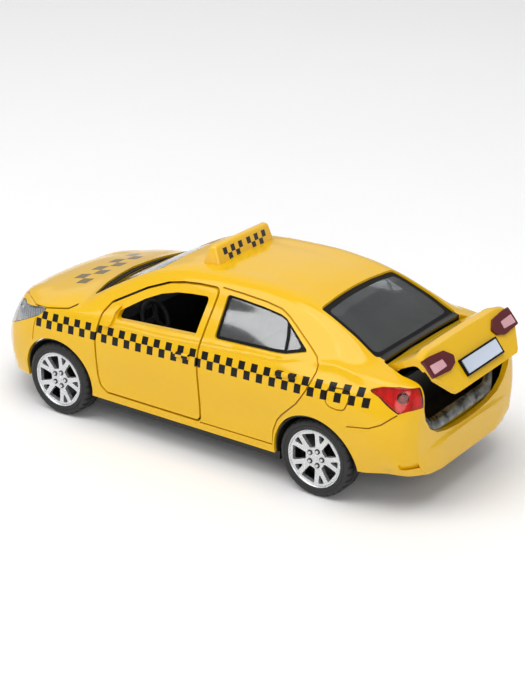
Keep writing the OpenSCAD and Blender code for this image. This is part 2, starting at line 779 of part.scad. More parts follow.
// Rear bench over the motor, with the shelf behind it
bench_low_share = (spring_at[1] + case_spring_r + seat_fit) / roof_h;
bench_shares = [
    [-0.2, bench_low_share], [-0.21, 0.615], [-0.4, 0.6], [-0.475, 0.72], [-0.53, 0.72], [-0.755, 0.685],
    [-0.755, 0.66], [-0.54, 0.66], [-0.54, bench_low_share]
];
module rear_bench() {
    color("darkslategray") along_y(xz_points(bench_shares), -between_half_w, between_half_w);
}
dash_shares = [
    [0.474, 0.2], [0.474, 0.655], [0.37, 0.645], [0.345, 0.6], [0.37, 0.47], [0.45, 0.42], [0.45, 0.2]
];
module dashboard() {
    color("dimgray") difference() {
        along_y(xz_points(dash_shares), -between_half_w, between_half_w);
        difference() {
            along_z(grown(both_halves(tub_points), over), 0, tub_wall_z + seat_fit);
            along_z(grown(both_halves(tub_points), -tub_t - seat_fit), tub_floor + seat_fit, high_z);
        }
    }
}
wheel_r = 4;
wheel_rim_r = 0.55;
wheel_tilt = -62;
column_r_share = 1.4;
wheel_at_shares = [0.3, 0.56];
wheel_at = [x_at(wheel_at_shares[0]), seat_y, z_at(wheel_at_shares[1])];
// The column reaches from the wheel just into the face of the dashboard
column_l = (x_at(dash_shares[4][0]) - wheel_at[0]) / -sin(wheel_tilt) + 2 * wheel_rim_r;
module steering_wheel() {
    color("black") difference() {
        translate(wheel_at) rotate([0, wheel_tilt, 0]) {
            rotate_extrude() translate([wheel_r, 0]) circle(r = wheel_rim_r, $fn = 24);
            for (turn = [90, 210, 330])
                rotate([0, 0, turn]) block(
                    [0, -wheel_rim_r, -wheel_rim_r / 2], [wheel_r, wheel_rim_r, wheel_rim_r / 2]
                );
            translate([0, 0, -column_l + wheel_rim_r])
                cylinder(r = wheel_rim_r * column_r_share, h = column_l);
        }
        along_y(grown(xz_points(dash_shares), seat_fit), -between_half_w, between_half_w);
    }
}

// Base plate with its rim, wheel wells, axle bearings and motor window
base_shares = [
    [0.86, 0], [0.86, 0.4], [0.83, 0.5], [0.78, 0.56], [0.56, 0.9], [-0.72, 0.9], [-0.76, 0.56],
    [-0.84, 0.5], [-0.865, 0.4], [-0.865, 0]
];
base_rim = 1.2;
base_rim_z = base_top + base_rim;
bearing_l = 3;
bearing_half_w = 2.2;
bearing_y = between_half_w - bearing_l;
screw_r = 0.85;
screw_head_r = 1.8;
screw_head_t = 0.8;
screw_l = 5;

module wheel_well(x) {
    both_flanks() block(
        [x - tyre_r - well_gap, between_half_w, base_z - over],
        [x + tyre_r + well_gap, side_out, base_rim_z + over]
    );
}
module bearing(x) {
    both_flanks() difference() {
        block(
            [x - bearing_half_w, bearing_y, base_z],
            [x + bearing_half_w, bearing_y + bearing_l, tyre_r + bearing_half_w]
        );
        translate([x, bearing_y + bearing_l + over, tyre_r])
            rotate([90, 0, 0]) cylinder(r = axle_r + run_fit, h = bearing_l + 2 * over);
    }
}
module base_plate() {
    outline = both_halves(xy_points(base_shares));
    color("black") {
        difference() {
            along_z(outline, base_z, base_rim_z);
            along_z(grown(outline, -base_rim), base_top, base_rim_z + over);
            wheel_well(front_x);
            wheel_well(rear_x);
            block(
                [rear_x - case_axle_r - case_gap, -case_half_w - case_gap, 0],
                [spring_at[0] + case_spring_r + case_gap, case_half_w + case_gap, base_rim_z + over]
            );
            for (x = [front_post_x, rear_post_x]) translate([x, 0, base_z - over]) {
                cylinder(r = screw_r + seat_fit, h = base_t + 2 * over);
                cylinder(r = screw_head_r + seat_fit, h = over + screw_head_t);
            }
        }
        bearing(front_x);
        bearing(rear_x);
    }
}
module base_screws() {
    color("silver") for (x = [front_post_x, rear_post_x]) translate([x, 0, base_z]) difference() {
        union() {
            cylinder(r = screw_head_r, h = screw_head_t);
            cylinder(r = screw_r, h = screw_l);
        }
        for (turn = [0, 90]) rotate([0, 0, turn])
            block([-screw_r, -screw_r / 4, -over], [screw_r, screw_r / 4, screw_head_t / 2]);
    }
}

// Wheels, made with their outer face at zero and +Z outwards
rim_lip = 0.5;
rim_wall = 0.6;
rim_face = 1;
rim_dish = 0.7;
hub_r = 1.9;
tyre_seat_r = rim_r - rim_lip;
rim_l = tyre_w - rim_lip;
axle_half = wheel_y - rim_dish - rim_face;
spoke_pitch = 360 / spoke_n;
// Openings of the rim, each point: share of the rim radius, share of the pitch between spokes
wide_opening_shares = [[0.34, 0.1], [0.6, 0.21], [0.86, 0.26], [0.86, -0.26], [0.6, -0.21], [0.34, -0.1]];
slim_opening_shares = [[0.5, 0.02], [0.86, 0.11], [0.86, -0.11], [0.5, -0.02]];
nut_share = 0.2;
function polar(shares) = [
    for (p = shares) p[0] * rim_r * [cos(p[1] * spoke_pitch), sin(p[1] * spoke_pitch)]
];
module wheel_place(x, side) {
    translate([x, side * wheel_y, tyre_r]) rotate([-side * 90, 0, 0]) children();
}
module rim(x, side) {
    color("silver") wheel_place(x, side) {
        rotate_extrude() polygon([
            [tyre_seat_r - rim_wall, -rim_l], [tyre_seat_r, -rim_l], [tyre_seat_r, -rim_lip],
            [rim_r, -rim_lip], [rim_r, 0], [rim_r - rim_lip, 0], [tyre_seat_r - rim_wall, -rim_dish]
        ]);
        difference() {
            union() {
                translate([0, 0, -rim_dish - rim_face]) cylinder(r = tyre_seat_r, h = rim_face);
                translate([0, 0, -rim_l]) cylinder(r = hub_r, h = rim_l - rim_dish);
            }
            for (k = [0 : spoke_n - 1]) {
                rotate([0, 0, k * spoke_pitch]) translate([0, 0, -rim_l])
                    linear_extrude(rim_l + over) polygon(polar(wide_opening_shares));
                rotate([0, 0, (k + 0.5) * spoke_pitch]) translate([0, 0, -rim_l])
                    linear_extrude(rim_l + over) polygon(polar(slim_opening_shares));
            }
            translate([0, 0, -rim_l - over])
                cylinder(r = axle_r + seat_fit, h = rim_l + over - rim_dish - rim_face + seat_fit);
        }
        for (k = [0 : spoke_n - 1])
            rotate([0, 0, (k + 0.5) * spoke_pitch])
                translate([nut_share * rim_r, 0, -rim_dish]) cylinder(r = rim_lip / 2, h = rim_lip / 2);
    }
}
tyre_shoulder = 0.8;
groove_d = 0.3;
groove_w = 0.5;
module tyre(x, side) {
    inner = tyre_seat_r + seat_fit;
    color("black") wheel_place(x, side) rotate_extrude($fn = 96) polygon([
        [inner, -tyre_w], [tyre_r - tyre_shoulder, -tyre_w],
        [tyre_r - tyre_shoulder / 4, -tyre_w + tyre_shoulder / 4],
        [tyre_r, -tyre_w + tyre_shoulder],
        [tyre_r, -tyre_w / 2 - groove_w / 2], [tyre_r - groove_d, -tyre_w / 2 - groove_w / 2],
        [tyre_r - groove_d, -tyre_w / 2 + groove_w / 2], [tyre_r, -tyre_w / 2 + groove_w / 2],
        [tyre_r, -tyre_shoulder], [tyre_r - tyre_shoulder / 4, -tyre_shoulder / 4],
        [tyre_r - tyre_shoulder, 0], [rim_r + seat_fit, -rim_lip / 2],
        [rim_r + seat_fit, -rim_lip - seat_fit],
        [inner, -rim_lip - seat_fit]
    ]);
}
module axle(x) {
    color("silver") translate([x, axle_half, tyre_r])
        rotate([90, 0, 0]) cylinder(r = axle_r, h = 2 * axle_half);
}
module front_axle() {
    axle(front_x);
}
module rear_axle() {
    axle(rear_x);
}
module front_left_rim() {
    rim(front_x, 1);
}
module front_right_rim() {
    rim(front_x, -1);
}
module rear_left_rim() {
    rim(rear_x, 1);
}
module rear_right_rim() {
    rim(rear_x, -1);
}
module front_left_tyre() {
    tyre(front_x, 1);
}
module front_right_tyre() {
    tyre(front_x, -1);
}
module rear_left_tyre() {
    tyre(rear_x, 1);
}
module rear_right_tyre() {
    tyre(rear_x, -1);
}

// Gears of the motor
function involute(base, r) = let (a = acos(base / r)) tan(a) * 180 / PI - a;
function at_angle(r, a) = r * [cos(a), sin(a)];
// Outline of a gear with its first tooth at the given angle
function gear_points(n, first) =
    let (
        pitch_r = gear_m * n / 2,
        base = pitch_r * cos(pressure_angle),
        root = pitch_r - gear_m * dedendum_share,
        tip = pitch_r + gear_m * addendum_share,
        low = max(base, root),
        flank = [for (k = [0 : 4]) low + (tip - low) * k / 4],
        half = 90 / n * tooth_share + involute(base, pitch_r)
    ) [
        for (k = [0 : n - 1])
            let (middle = first + 360 / n * k)
            each concat(
                [at_angle(root, middle - half + involute(base, low))],
                [for (r = flank) at_angle(r, middle - half + involute(base, r))],
                [for (i = [4 : -1 : 0]) at_angle(flank[i], middle + half - involute(base, flank[i]))],
                [at_angle(root, middle + half - involute(base, low))]
            )
    ];
module placed_gear(centre, points) {
    translate([centre[0], 0, centre[1]]) along_y(points, -gear_t / 2, gear_t / 2);
}
module axle_pinion() {
    color("ivory") difference() {
        placed_gear([rear_x, tyre_r], gear_points(pinion_n, mesh_angle));
        translate([rear_x, gear_t, tyre_r])
            rotate([90, 0, 0]) cylinder(r = axle_r + seat_fit, h = 2 * gear_t);
    }
}
module spring_gear() {
    color("ivory") {
        placed_gear(spring_at, gear_points(spring_n, mesh_angle + 180 + 180 / spring_n));
        translate([spring_at[0], arbor_half, spring_at[1]])
            rotate([90, 0, 0]) cylinder(r = arbor_r, h = 2 * arbor_half);
    }
}
// Flat spiral of spring steel beside the spring gear
coil_turns = 4;
coil_steps = 18;
coil_t = 0.25;
coil_room = 0.3;
coil_out = spring_tip_r - 4 * coil_room;
coil_y = [gear_t / 2 + coil_room, case_half_w - case_t - coil_room];
function coil_r(k) = arbor_r + seat_fit + (coil_out - arbor_r) * k / (coil_turns * coil_steps);
module mainspring() {
    last = coil_turns * coil_steps;
    color("gray") translate([spring_at[0], 0, spring_at[1]]) along_y(
        concat(
            [for (k = [0 : last]) at_angle(coil_r(k), 360 * k / coil_steps)],
            [for (k = [last : -1 : 0]) at_angle(coil_r(k) + coil_t, 360 * k / coil_steps)]
        ),
        coil_y[0], coil_y[1]
    );
}
// Case outline: an arc round each gear, joined by straight flanks
arc_steps = 24;
function case_points(by) =
    let (turn = acos((case_axle_r - case_spring_r) / mesh_l), rest = 360 - 2 * turn) concat(
        [for (k = [0 : arc_steps])
            [rear_x, tyre_r] + at_angle(case_axle_r + by, mesh_angle + turn + rest * k / arc_steps)],
        [for (k = [0 : arc_steps])
            spring_at + at_angle(case_spring_r + by, mesh_angle - turn + 2 * turn * k / arc_steps)]
    );
module case_half() {
    difference() {
        along_y(case_points(0), 0, case_half_w);
        along_y(case_points(-case_t), -over, case_half_w - case_t);
        translate([rear_x, case_half_w + over, tyre_r])
            rotate([90, 0, 0]) cylinder(r = axle_r + run_fit, h = case_half_w + over);
        translate([spring_at[0], case_half_w + over, spring_at[1]])
            rotate([90, 0, 0]) cylinder(r = arbor_r + run_fit, h = case_half_w + over);
    }
}
module motor_left_case() {
    color("black") case_half();
}
module motor_right_case() {
    color("black") mirror([0, 1, 0]) case_half();
}

body_shell();
window_insert();
left_door();
right_door();
boot_lid();
boot_hinge_rod();
left_lid_lamp();
right_lid_lamp();
plate_frame();
number_plate();
left_tail_lamp();
right_tail_lamp();
left_headlamp();
right_headlamp();
front_grille();
roof_sign();
boot_tray();
boot_sill_strip();
interior_tub();
left_seat();
right_seat();
rear_bench();
dashboard();
steering_wheel();
left_door_pin();
right_door_pin();
base_plate();
base_screws();
front_axle();
rear_axle();
front_left_rim();
front_right_rim();
rear_left_rim();
rear_right_rim();
front_left_tyre();
front_right_tyre();
rear_left_tyre();
rear_right_tyre();
motor_left_case();
motor_right_case();
axle_pinion();
spring_gear();
mainspring();
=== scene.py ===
from math import acos, atan2, copysign, cos, hypot, pi, radians, sin, tan

import bmesh
import bpy
import numpy as np
from mathutils import Matrix, Vector


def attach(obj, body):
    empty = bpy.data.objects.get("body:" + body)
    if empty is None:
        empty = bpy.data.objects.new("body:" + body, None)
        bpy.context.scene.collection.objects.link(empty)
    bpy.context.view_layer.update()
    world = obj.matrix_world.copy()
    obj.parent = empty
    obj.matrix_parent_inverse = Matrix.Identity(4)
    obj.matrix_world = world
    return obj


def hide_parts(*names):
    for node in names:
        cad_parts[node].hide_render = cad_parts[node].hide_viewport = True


# %% [markdown]
# A die-cast toy taxi is mostly one thing: a thin painted skin with panels let into it.
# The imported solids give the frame, the joints and every place. Here the same feature lines are run
# through smooth curves, so that the paint gets the soft highlights of a casting.

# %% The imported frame
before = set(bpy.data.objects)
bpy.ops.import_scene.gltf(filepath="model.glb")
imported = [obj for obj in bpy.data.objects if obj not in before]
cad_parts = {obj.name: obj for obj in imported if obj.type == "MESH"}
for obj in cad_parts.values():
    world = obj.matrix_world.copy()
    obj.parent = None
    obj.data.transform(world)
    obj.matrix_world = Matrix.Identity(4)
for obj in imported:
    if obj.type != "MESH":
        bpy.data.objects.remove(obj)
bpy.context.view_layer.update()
MM = 0.001

# %% [markdown]
# The photograph was taken with a long lens from behind on the car's left. A long lens far away keeps
# the wheels nearly round. The camera comes first, because everything is judged through it.

# %% Camera
VIEW_TARGET = Vector((-3.67, 0.0, 17.48)) * MM
VIEW_AZIMUTH, VIEW_HEIGHT, VIEW_DISTANCE = radians(215.32), radians(23.03), 397.62 * MM
VIEW_LENS, FILM_HEIGHT, NEAREST = 91.31, 36, 0.01


def linked(name, data):
    """A new object in the scene."""
    made = bpy.data.objects.new(name, data)
    bpy.context.scene.collection.objects.link(made)
    return made


towards = Vector((
    sin(VIEW_AZIMUTH) * cos(VIEW_HEIGHT),
    -cos(VIEW_AZIMUTH) * cos(VIEW_HEIGHT),
    sin(VIEW_HEIGHT),
))
camera = linked("camera", bpy.data.cameras.new("camera"))
camera.data.sensor_fit = "VERTICAL"
camera.data.sensor_height, camera.data.lens, camera.data.clip_start = FILM_HEIGHT, VIEW_LENS, NEAREST
camera.location = VIEW_TARGET + towards * VIEW_DISTANCE
camera.rotation_euler = (-towards).to_track_quat("-Z", "Y").to_euler()
bpy.context.scene.camera = camera
print("camera at", [round(c, 3) for c in camera.location])

# %% [markdown]
# The skin is a sheet stretched over feature lines: sill, flank, crease, belt, roof rail and crown.
# Each row is a place in thousandths of the half length, the half width and the roof height. A loft with
# straight pieces would show flat facets, so monotone cubic curves join the rows without overshoot.

# %% Feature lines of the body
HALF_L, HALF_W, ROOF_H, MID_X = 58.75, 24.5, 40.4, 1.86142
BOW, SHOULDER_Y, SHOULDER_Z = 0.018, 0.55, 0.78  # how full the side glass and the edge of the roof are
SILL = [
    (1000, 360, 200), (970, 550, 175), (910, 720, 168), (830, 870, 168), (710, 945, 176), (590, 968, 179),
    (-590, 972, 179), (-660, 960, 195), (-790, 935, 208), (-880, 865, 219), (-945, 790, 213),
    (-980, 680, 210), (-990, 640, 208), (-1000, 455, 202),
]
FLANK = [
    (1000, 420, 300), (970, 600, 300), (910, 760, 300), (830, 915, 300), (710, 973, 300), (590, 998, 300),
    (400, 982, 300), (280, 980, 300), (-400, 985, 300), (-590, 1000, 300), (-790, 988, 300),
    (-880, 958, 300), (-945, 900, 300), (-980, 800, 295), (-990, 760, 275), (-1000, 540, 260),
]
CREASE = [
    (1000, 390, 360), (970, 560, 385), (910, 700, 440), (830, 880, 505), (710, 942, 578), (590, 958, 600),
    (500, 962, 605), (280, 966, 615), (-90, 968, 630), (-400, 976, 645), (-590, 984, 652), (-790, 965, 660),
    (-880, 935, 650), (-945, 870, 630), (-980, 760, 600), (-990, 700, 330), (-1000, 500, 320),
]
BELT = [
    (1000, 340, 385), (970, 460, 425), (910, 620, 500), (830, 825, 553), (710, 912, 610), (590, 930, 636),
    (500, 936, 648), (280, 930, 657), (-90, 926, 682), (-400, 925, 700), (-520, 910, 713), (-660, 890, 724),
    (-790, 875, 724), (-880, 850, 715), (-945, 800, 702), (-980, 690, 684), (-990, 660, 350),
    (-1000, 450, 340),
]
RAIL = [
    (1000, 250, 405), (970, 340, 470), (910, 500, 555), (830, 710, 604), (710, 770, 642), (590, 795, 672),
    (500, 790, 690), (400, 725, 768), (280, 655, 857), (180, 610, 918), (60, 600, 957), (-90, 605, 972),
    (-250, 610, 975), (-400, 610, 958), (-520, 630, 918), (-660, 665, 838), (-790, 700, 752),
    (-880, 705, 733), (-945, 690, 720), (-980, 610, 703), (-990, 500, 370), (-1000, 350, 355),
]
CROWN = [
    (1000, 0, 420), (970, 0, 500), (910, 0, 585), (830, 0, 636), (710, 0, 678), (590, 0, 714),
    (500, 0, 742), (400, 0, 810), (280, 0, 900), (180, 0, 958), (60, 0, 990), (-90, 0, 1000),
    (-250, 0, 1000), (-400, 0, 986), (-520, 0, 948), (-660, 0, 864), (-790, 0, 766), (-880, 0, 745),
    (-945, 0, 731), (-980, 0, 714), (-990, 0, 380), (-1000, 0, 360),
]


def monotone(rows, column, s):
    """A smooth curve through one column of a feature line, without overshoot."""
    table = np.array(sorted(rows)) / 1000
    x, y = table[:, 0], table[:, column]
    h, d = np.diff(x), np.diff(y) / np.diff(x)
    slope = np.zeros(len(x))
    both = d[1:] * d[:-1] > 0
    weight_a, weight_b = (2 * h[1:] + h[:-1])[both], (h[1:] + 2 * h[:-1])[both]
    inner = np.zeros(len(x) - 2)
    inner[both] = (weight_a + weight_b) / (weight_a / d[:-1][both] + weight_b / d[1:][both])
    slope[1:-1], slope[0], slope[-1] = inner, d[0], d[-1]
    i = np.clip(np.searchsorted(x, s) - 1, 0, len(h) - 1)
    t = (s - x[i]) / h[i]
    return (
        y[i] * (1 + 2 * t) * (1 - t) ** 2 + y[i + 1] * t * t * (3 - 2 * t)
        + h[i] * (slope[i] * t * (1 - t) ** 2 + slope[i + 1] * t * t * (t - 1))
    )


def half_section(s):
    """The eight points of the left half of a section, sill first, for each share s of the half length."""
    lines = [
        np.stack([monotone(rows, 1, s) * HALF_W, monotone(rows, 2, s) * ROOF_H], -1)
        for rows in (SILL, FLANK, CREASE, BELT, RAIL, CROWN)
    ]
    sill, flank, crease, belt, rail, crown = lines
    rise = np.linalg.norm(rail - belt, axis=-1, keepdims=True)
    bow = (belt + rail) / 2 + BOW * rise
    shoulder = np.stack([rail[:, 0] * SHOULDER_Y, rail[:, 1] + (crown[:, 1] - rail[:, 1]) * SHOULDER_Z], -1)
    return np.stack([sill, flank, crease, belt, bow, rail, shoulder, crown], 1)


print("section at the wheels", np.round(half_section(np.array([0.59]))[0], 1).tolist())

# %% [markdown]
# Around a section the eight points are joined by a Catmull-Rom curve, which passes through each of them.
# A depth moves the curve inwards, which is how one surface gives the paint, the glass below it and the liner.
# Fine relief is moved out of the same sheet, as on a real pressing: two ridges under the windows, a crease
# over the rear wheel with a hollow below it, and a lip on the lid.

# %% The sheet
ROUND = [7, 12, 16, 12, 9, 9, 8]  # steps between neighbouring feature lines
RIDGE = [
    (360, 628), (280, 641.5), (110, 649.5), (-100, 670.5), (-200, 680.5), (-330, 694), (-400, 700),
    (-460, 711), (-515, 732.5), (-570, 755),
]
RIDGE_APART, RIDGE_WIDTH, RIDGE_LIFT, RIDGE_SPAN = 0.38, 0.2, 0.16, (-0.57, 0.05, 0.35, 0.04)
HAUNCH = [(-540, 745), (-600, 728), (-657, 733), (-739, 725), (-840, 718)]
HAUNCH_WIDTH, HAUNCH_LIFT, HAUNCH_SPAN = 0.55, 0.32, (-0.83, 0.08, -0.56, 0.06)
HOLLOW_WIDTH, HOLLOW_DEPTH, HOLLOW_BELOW = 0.9, 0.22, 1.7
LIP_AT, LIP_WIDTH, LIP_LIFT, LIP_HALF, LIP_FADE = -0.953, 0.013, 0.5, 15.5, 2.5


def steps_round(first=0, last=14, finer=1):
    """Places around the body: 0 is the left sill, 7 the crown and 14 the right sill."""
    left = np.concatenate([k + np.arange(n * finer) / (n * finer) for k, n in enumerate(ROUND)] + [[7.0]])
    whole = np.concatenate([left, 14 - left[-2::-1]])
    return whole[(whole >= first - 1e-6) & (whole <= last + 1e-6)]


def steps_along(first, last, pitch=0.011):
    """Shares along the body, closer together at the nose and on the steep rear face."""
    spans = [(-1, -0.99, 0.0025), (-0.99, -0.98, 0.0005), (-0.98, -0.9, 0.004), (-0.9, 0.88, pitch),
             (0.88, 1, 0.007)]
    places = [np.linspace(a, b, max(2, int(round((b - a) / p)) + 1)) for a, b, p in spans]
    places = np.unique(np.round(np.concatenate(places), 6))
    inside = places[(places > first + 1e-4) & (places < last - 1e-4)]
    return np.concatenate([[first], inside, [last]])


def bell(value, width):
    return np.exp(-((value / width) ** 2))


def faded(s, first, rise, last, fall):
    """1 along a span of the body and 0 past its ends."""
    return (np.clip((s - first) / rise, 0, 1) * np.clip((last - s) / fall, 0, 1))[:, None]


def over(line, s, z):
    """Heights above a line of the side view."""
    ends = min(line)[0] / 1000, max(line)[0] / 1000
    return z - monotone(line, 1, np.clip(s, *ends))[:, None] * ROOF_H


def relief(s, y, z, folded):
    """How far the ridges, the crease over the rear wheel and the lip of the lid stand out."""
    off = over(RIDGE, s, z)
    ridge = bell(off - RIDGE_APART, RIDGE_WIDTH) + bell(off + RIDGE_APART, RIDGE_WIDTH)
    ridge = RIDGE_LIFT * ridge * faded(s, *RIDGE_SPAN) * (folded < 4.5)
    off = over(HAUNCH, s, z)
    haunch = HAUNCH_LIFT * bell(off, HAUNCH_WIDTH) - HOLLOW_DEPTH * bell(off + HOLLOW_BELOW, HOLLOW_WIDTH)
    haunch = haunch * faded(s, *HAUNCH_SPAN) * (folded < 5)
    lip = LIP_LIFT * bell(s - LIP_AT, LIP_WIDTH)[:, None] * np.clip((LIP_HALF - np.abs(y)) / LIP_FADE, 0, 1)
    return ridge + haunch + lip * (folded > 4)


def sheet(s, v, depth):
    """Points of the body surface at shares s and places v, moved inwards by depth, in millimetres."""
    points = half_section(s)
    turned = 14 - v
    folded = np.minimum(v, turned)
    k = np.clip(folded.astype(int), 0, 6)
    t = (folded - k)[None, :, None]
    mirrored = points[:, 6:7] * np.array([-1, 1])
    before = np.concatenate([2 * points[:, :1] - points[:, 1:2], points[:, :-1]], 1)
    after = np.concatenate([points[:, 1:], mirrored], 1)
    gap_a = np.linalg.norm(points - before, axis=-1, keepdims=True) + 1e-6
    gap_b = np.linalg.norm(after - points, axis=-1, keepdims=True) + 1e-6
    way = ((points - before) / gap_a * gap_b + (after - points) / gap_b * gap_a) / (gap_a + gap_b)
    chord = gap_b[:, k]
    a, b, wa, wb = points[:, k], points[:, k + 1], way[:, k] * chord, way[:, k + 1] * chord
    curve = (
        a * (1 + 2 * t) * (1 - t) ** 2 + b * t * t * (3 - 2 * t)
        + wa * t * (1 - t) ** 2 + wb * t * t * (t - 1)
    )
    tangent = (
        (a - b) * (6 * t * t - 6 * t) + wa * (3 * t * t - 4 * t + 1) + wb * (3 * t * t - 2 * t)
    )
    out = np.stack([tangent[..., 1], -tangent[..., 0]], -1)
    out /= np.linalg.norm(out, axis=-1, keepdims=True) + 1e-9
    curve = curve + out * (relief(s, curve[..., 0], curve[..., 1], folded) - depth)[..., None]
    hand = np.where(v > 7, -1.0, 1.0)[None, :]
    x = MID_X + s * (HALF_L - depth)
    return np.stack([np.broadcast_to(x[:, None], curve.shape[:2]), curve[..., 0] * hand, curve[..., 1]], -1)


def laid_grid(bm, points):
    """Adds a grid to the bmesh and moves its vertices to the points."""
    n, m = points.shape[0] - 1, points.shape[1] - 1
    made = bmesh.ops.create_grid(bm, x_segments=n, y_segments=m, size=1)["verts"]
    for vert in made:
        i, j = round((vert.co.x + 1) / 2 * n), round((vert.co.y + 1) / 2 * m)
        vert.co = points[i, j]
    return made


def closed_ends(points):
    """Adds the flat nose and tail, where the ring closes on the middle plane."""
    shrink = np.linspace(0, 1, 9)[:-1]
    nose = np.stack([points[-1] * (1, t, 1) for t in shrink[::-1]])
    tail = np.stack([points[0] * (1, t, 1) for t in shrink])
    return np.concatenate([tail, points, nose])


def skin(s, v, outside, inside, ends=False):
    """A closed slab of the body surface between two depths."""
    bm = bmesh.new()
    for depth in (outside, inside):
        points = sheet(s, v, depth)
        laid_grid(bm, closed_ends(points) if ends else points)
    bmesh.ops.remove_doubles(bm, verts=bm.verts, dist=1e-4)
    rims = [e for e in bm.edges if e.is_boundary]
    bmesh.ops.bridge_loops(bm, edges=rims)
    bmesh.ops.recalc_face_normals(bm, faces=bm.faces)
    return bm


print("sheet of", len(steps_along(-1, 1)), "by", len(steps_round()), "points")

# %% [markdown]
# Openings are cut the way a tool would cut them: an outline seen from the side, from above or from behind
# is pushed straight through the skin. The corners of each outline get a radius first, because a casting
# has no sharp corners. Boolean modifiers do the cutting and are applied at once.

# %% Outlines and cutting tools
CORNER_STEPS = 4


def side(shares):
    """Thousandths seen from the side, as millimetres."""
    return [(MID_X + s / 1000 * HALF_L, z / 1000 * ROOF_H) for s, z in shares]


def above(shares):
    """Thousandths seen from above, with the mirrored half."""
    half = [(MID_X + s / 1000 * HALF_L, y / 1000 * HALF_W) for s, y in shares]
    return half + [(x, -y) for x, y in reversed(half) if y > 0]


def half_behind(shares):
    return [(y / 1000 * HALF_W, z / 1000 * ROOF_H) for y, z in shares]


def behind(shares):
    """Thousandths seen from behind, with the mirrored half."""
    half = half_behind(shares)
    return half + [(-y, z) for y, z in reversed(half) if y > 0]


def grown(points, by):
    """An outline offset square to its edges; positive values grow it."""
    p = np.array(points, float)
    area = np.sum(p[:, 0] * np.roll(p[:, 1], -1) - p[:, 1] * np.roll(p[:, 0], -1))
    edge = np.roll(p, -1, 0) - p
    normal = np.stack([edge[:, 1], -edge[:, 0]], -1) / np.linalg.norm(edge, axis=1, keepdims=True)
    before = np.roll(normal, 1, 0)
    move = (before + normal) / (1 + np.sum(before * normal, 1, keepdims=True))
    return p + move * by * np.sign(area)


def rounded(points, radius):
    """An outline whose corners are arcs of up to that radius."""
    p = np.array(points, float)
    made = []
    for a, b, c in zip(np.roll(p, 1, 0), p, np.roll(p, -1, 0)):
        u, w = a - b, c - b
        lu, lw = np.linalg.norm(u), np.linalg.norm(w)
        u, w = u / lu, w / lw
        half = acos(float(np.clip(np.dot(u, w), -1, 1))) / 2
        reach = min(radius / max(tan(half), 1e-6), 0.45 * lu, 0.45 * lw)
        for t in np.linspace(0, 1, CORNER_STEPS + 1):
            made.append(b + u * reach * (1 - t) ** 2 + w * reach * t * t)
    return np.array(made)


def ribbon(points, width):
    """A line as a closed outline of that width."""
    p = np.array(points, float)
    way = np.gradient(p, axis=0)
    normal = np.stack([way[:, 1], -way[:, 0]], -1) / np.linalg.norm(way, axis=1, keepdims=True) * width / 2
    return np.concatenate([p + normal, (p - normal)[::-1]])


PUT = {
    "x": lambda p, at: (at, p[0], p[1]),
    "y": lambda p, at: (p[0], at, p[1]),
    "z": lambda p, at: (p[0], p[1], at),
}


def push(bm, points, axis, low, high):
    """Adds an outline pushed along an axis from low to high."""
    face = bm.faces.new([bm.verts.new(PUT[axis](p, low)) for p in points])
    moved = bmesh.ops.extrude_face_region(bm, geom=[face])["geom"]
    way = Vector(PUT[axis]((0, 0), high - low))
    bmesh.ops.translate(bm, vec=way, verts=[g for g in moved if isinstance(g, bmesh.types.BMVert)])


def shaped(bm, name):
    """A bmesh as an object of the scene, still in millimetres."""
    bmesh.ops.recalc_face_normals(bm, faces=bm.faces)
    mesh = bpy.data.meshes.new(name)
    bm.to_mesh(mesh)
    bm.free()
    return linked(name, mesh)


def tool(cuts):
    """One cutting tool from several pushed outlines."""
    bm = bmesh.new()
    for points, axis, low, high in cuts:
        push(bm, points, axis, low, high)
    return shaped(bm, "tool")


def carve(made, cutter, operation="DIFFERENCE"):
    """Cuts a shape with a tool, or keeps only what is inside it."""
    step = made.modifiers.new("carve", "BOOLEAN")
    step.object, step.operation, step.solver = cutter, operation, "EXACT"
    shown = made.evaluated_get(bpy.context.evaluated_depsgraph_get())
    mesh = bpy.data.meshes.new_from_object(shown)
    made.modifiers.clear()
    old, made.data = made.data, mesh
    bpy.data.meshes.remove(old)
    bpy.data.objects.remove(cutter)
    return made


def slice_of(name, along, around, depths, cuts):
    """A slab of the body sheet between two depths, kept only inside the outlines."""
    made = shaped(skin(steps_along(*along), steps_round(*around), *depths), name)
    return carve(made, tool(cuts), "INTERSECT")


# %% [markdown]
# A finished piece is scaled from millimetres to metres in its mesh, so its object stays at the origin.
# Every piece rides on a body of the frame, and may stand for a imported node, which is then hidden.

# %% Finishing a piece
TO_METRES = Matrix.Scale(MM, 4)
FLIP = Matrix.Scale(-1, 4, (0, 1, 0))
SHARP, CUT_EDGE = 32, 55


def place(made, body, finishes, replaces=()):
    """Finishes a piece, lets it ride on a body and hides the nodes it stands for."""
    made.data.transform(TO_METRES)
    chosen = [face.material_index for face in made.data.polygons]
    made.data.materials.clear()
    for look in finishes:
        made.data.materials.append(look)
    made.data.polygons.foreach_set("material_index", np.minimum(chosen, len(finishes) - 1))
    made.data.shade_smooth()
    made.data.set_sharp_from_angle(angle=radians(SHARP))
    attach(made, body)
    if replaces:
        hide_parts(*replaces)
    print(made.name, len(made.data.polygons), "faces on", body)
    return made


def soft_edge(made, width, angle=CUT_EDGE):
    """Rounds the cut edges of a placed piece, so that they catch a line of light."""
    edge = made.modifiers.new("edges", "BEVEL")
    edge.width, edge.segments, edge.limit_method = width * MM, 2, "ANGLE"
    edge.angle_limit = radians(angle)


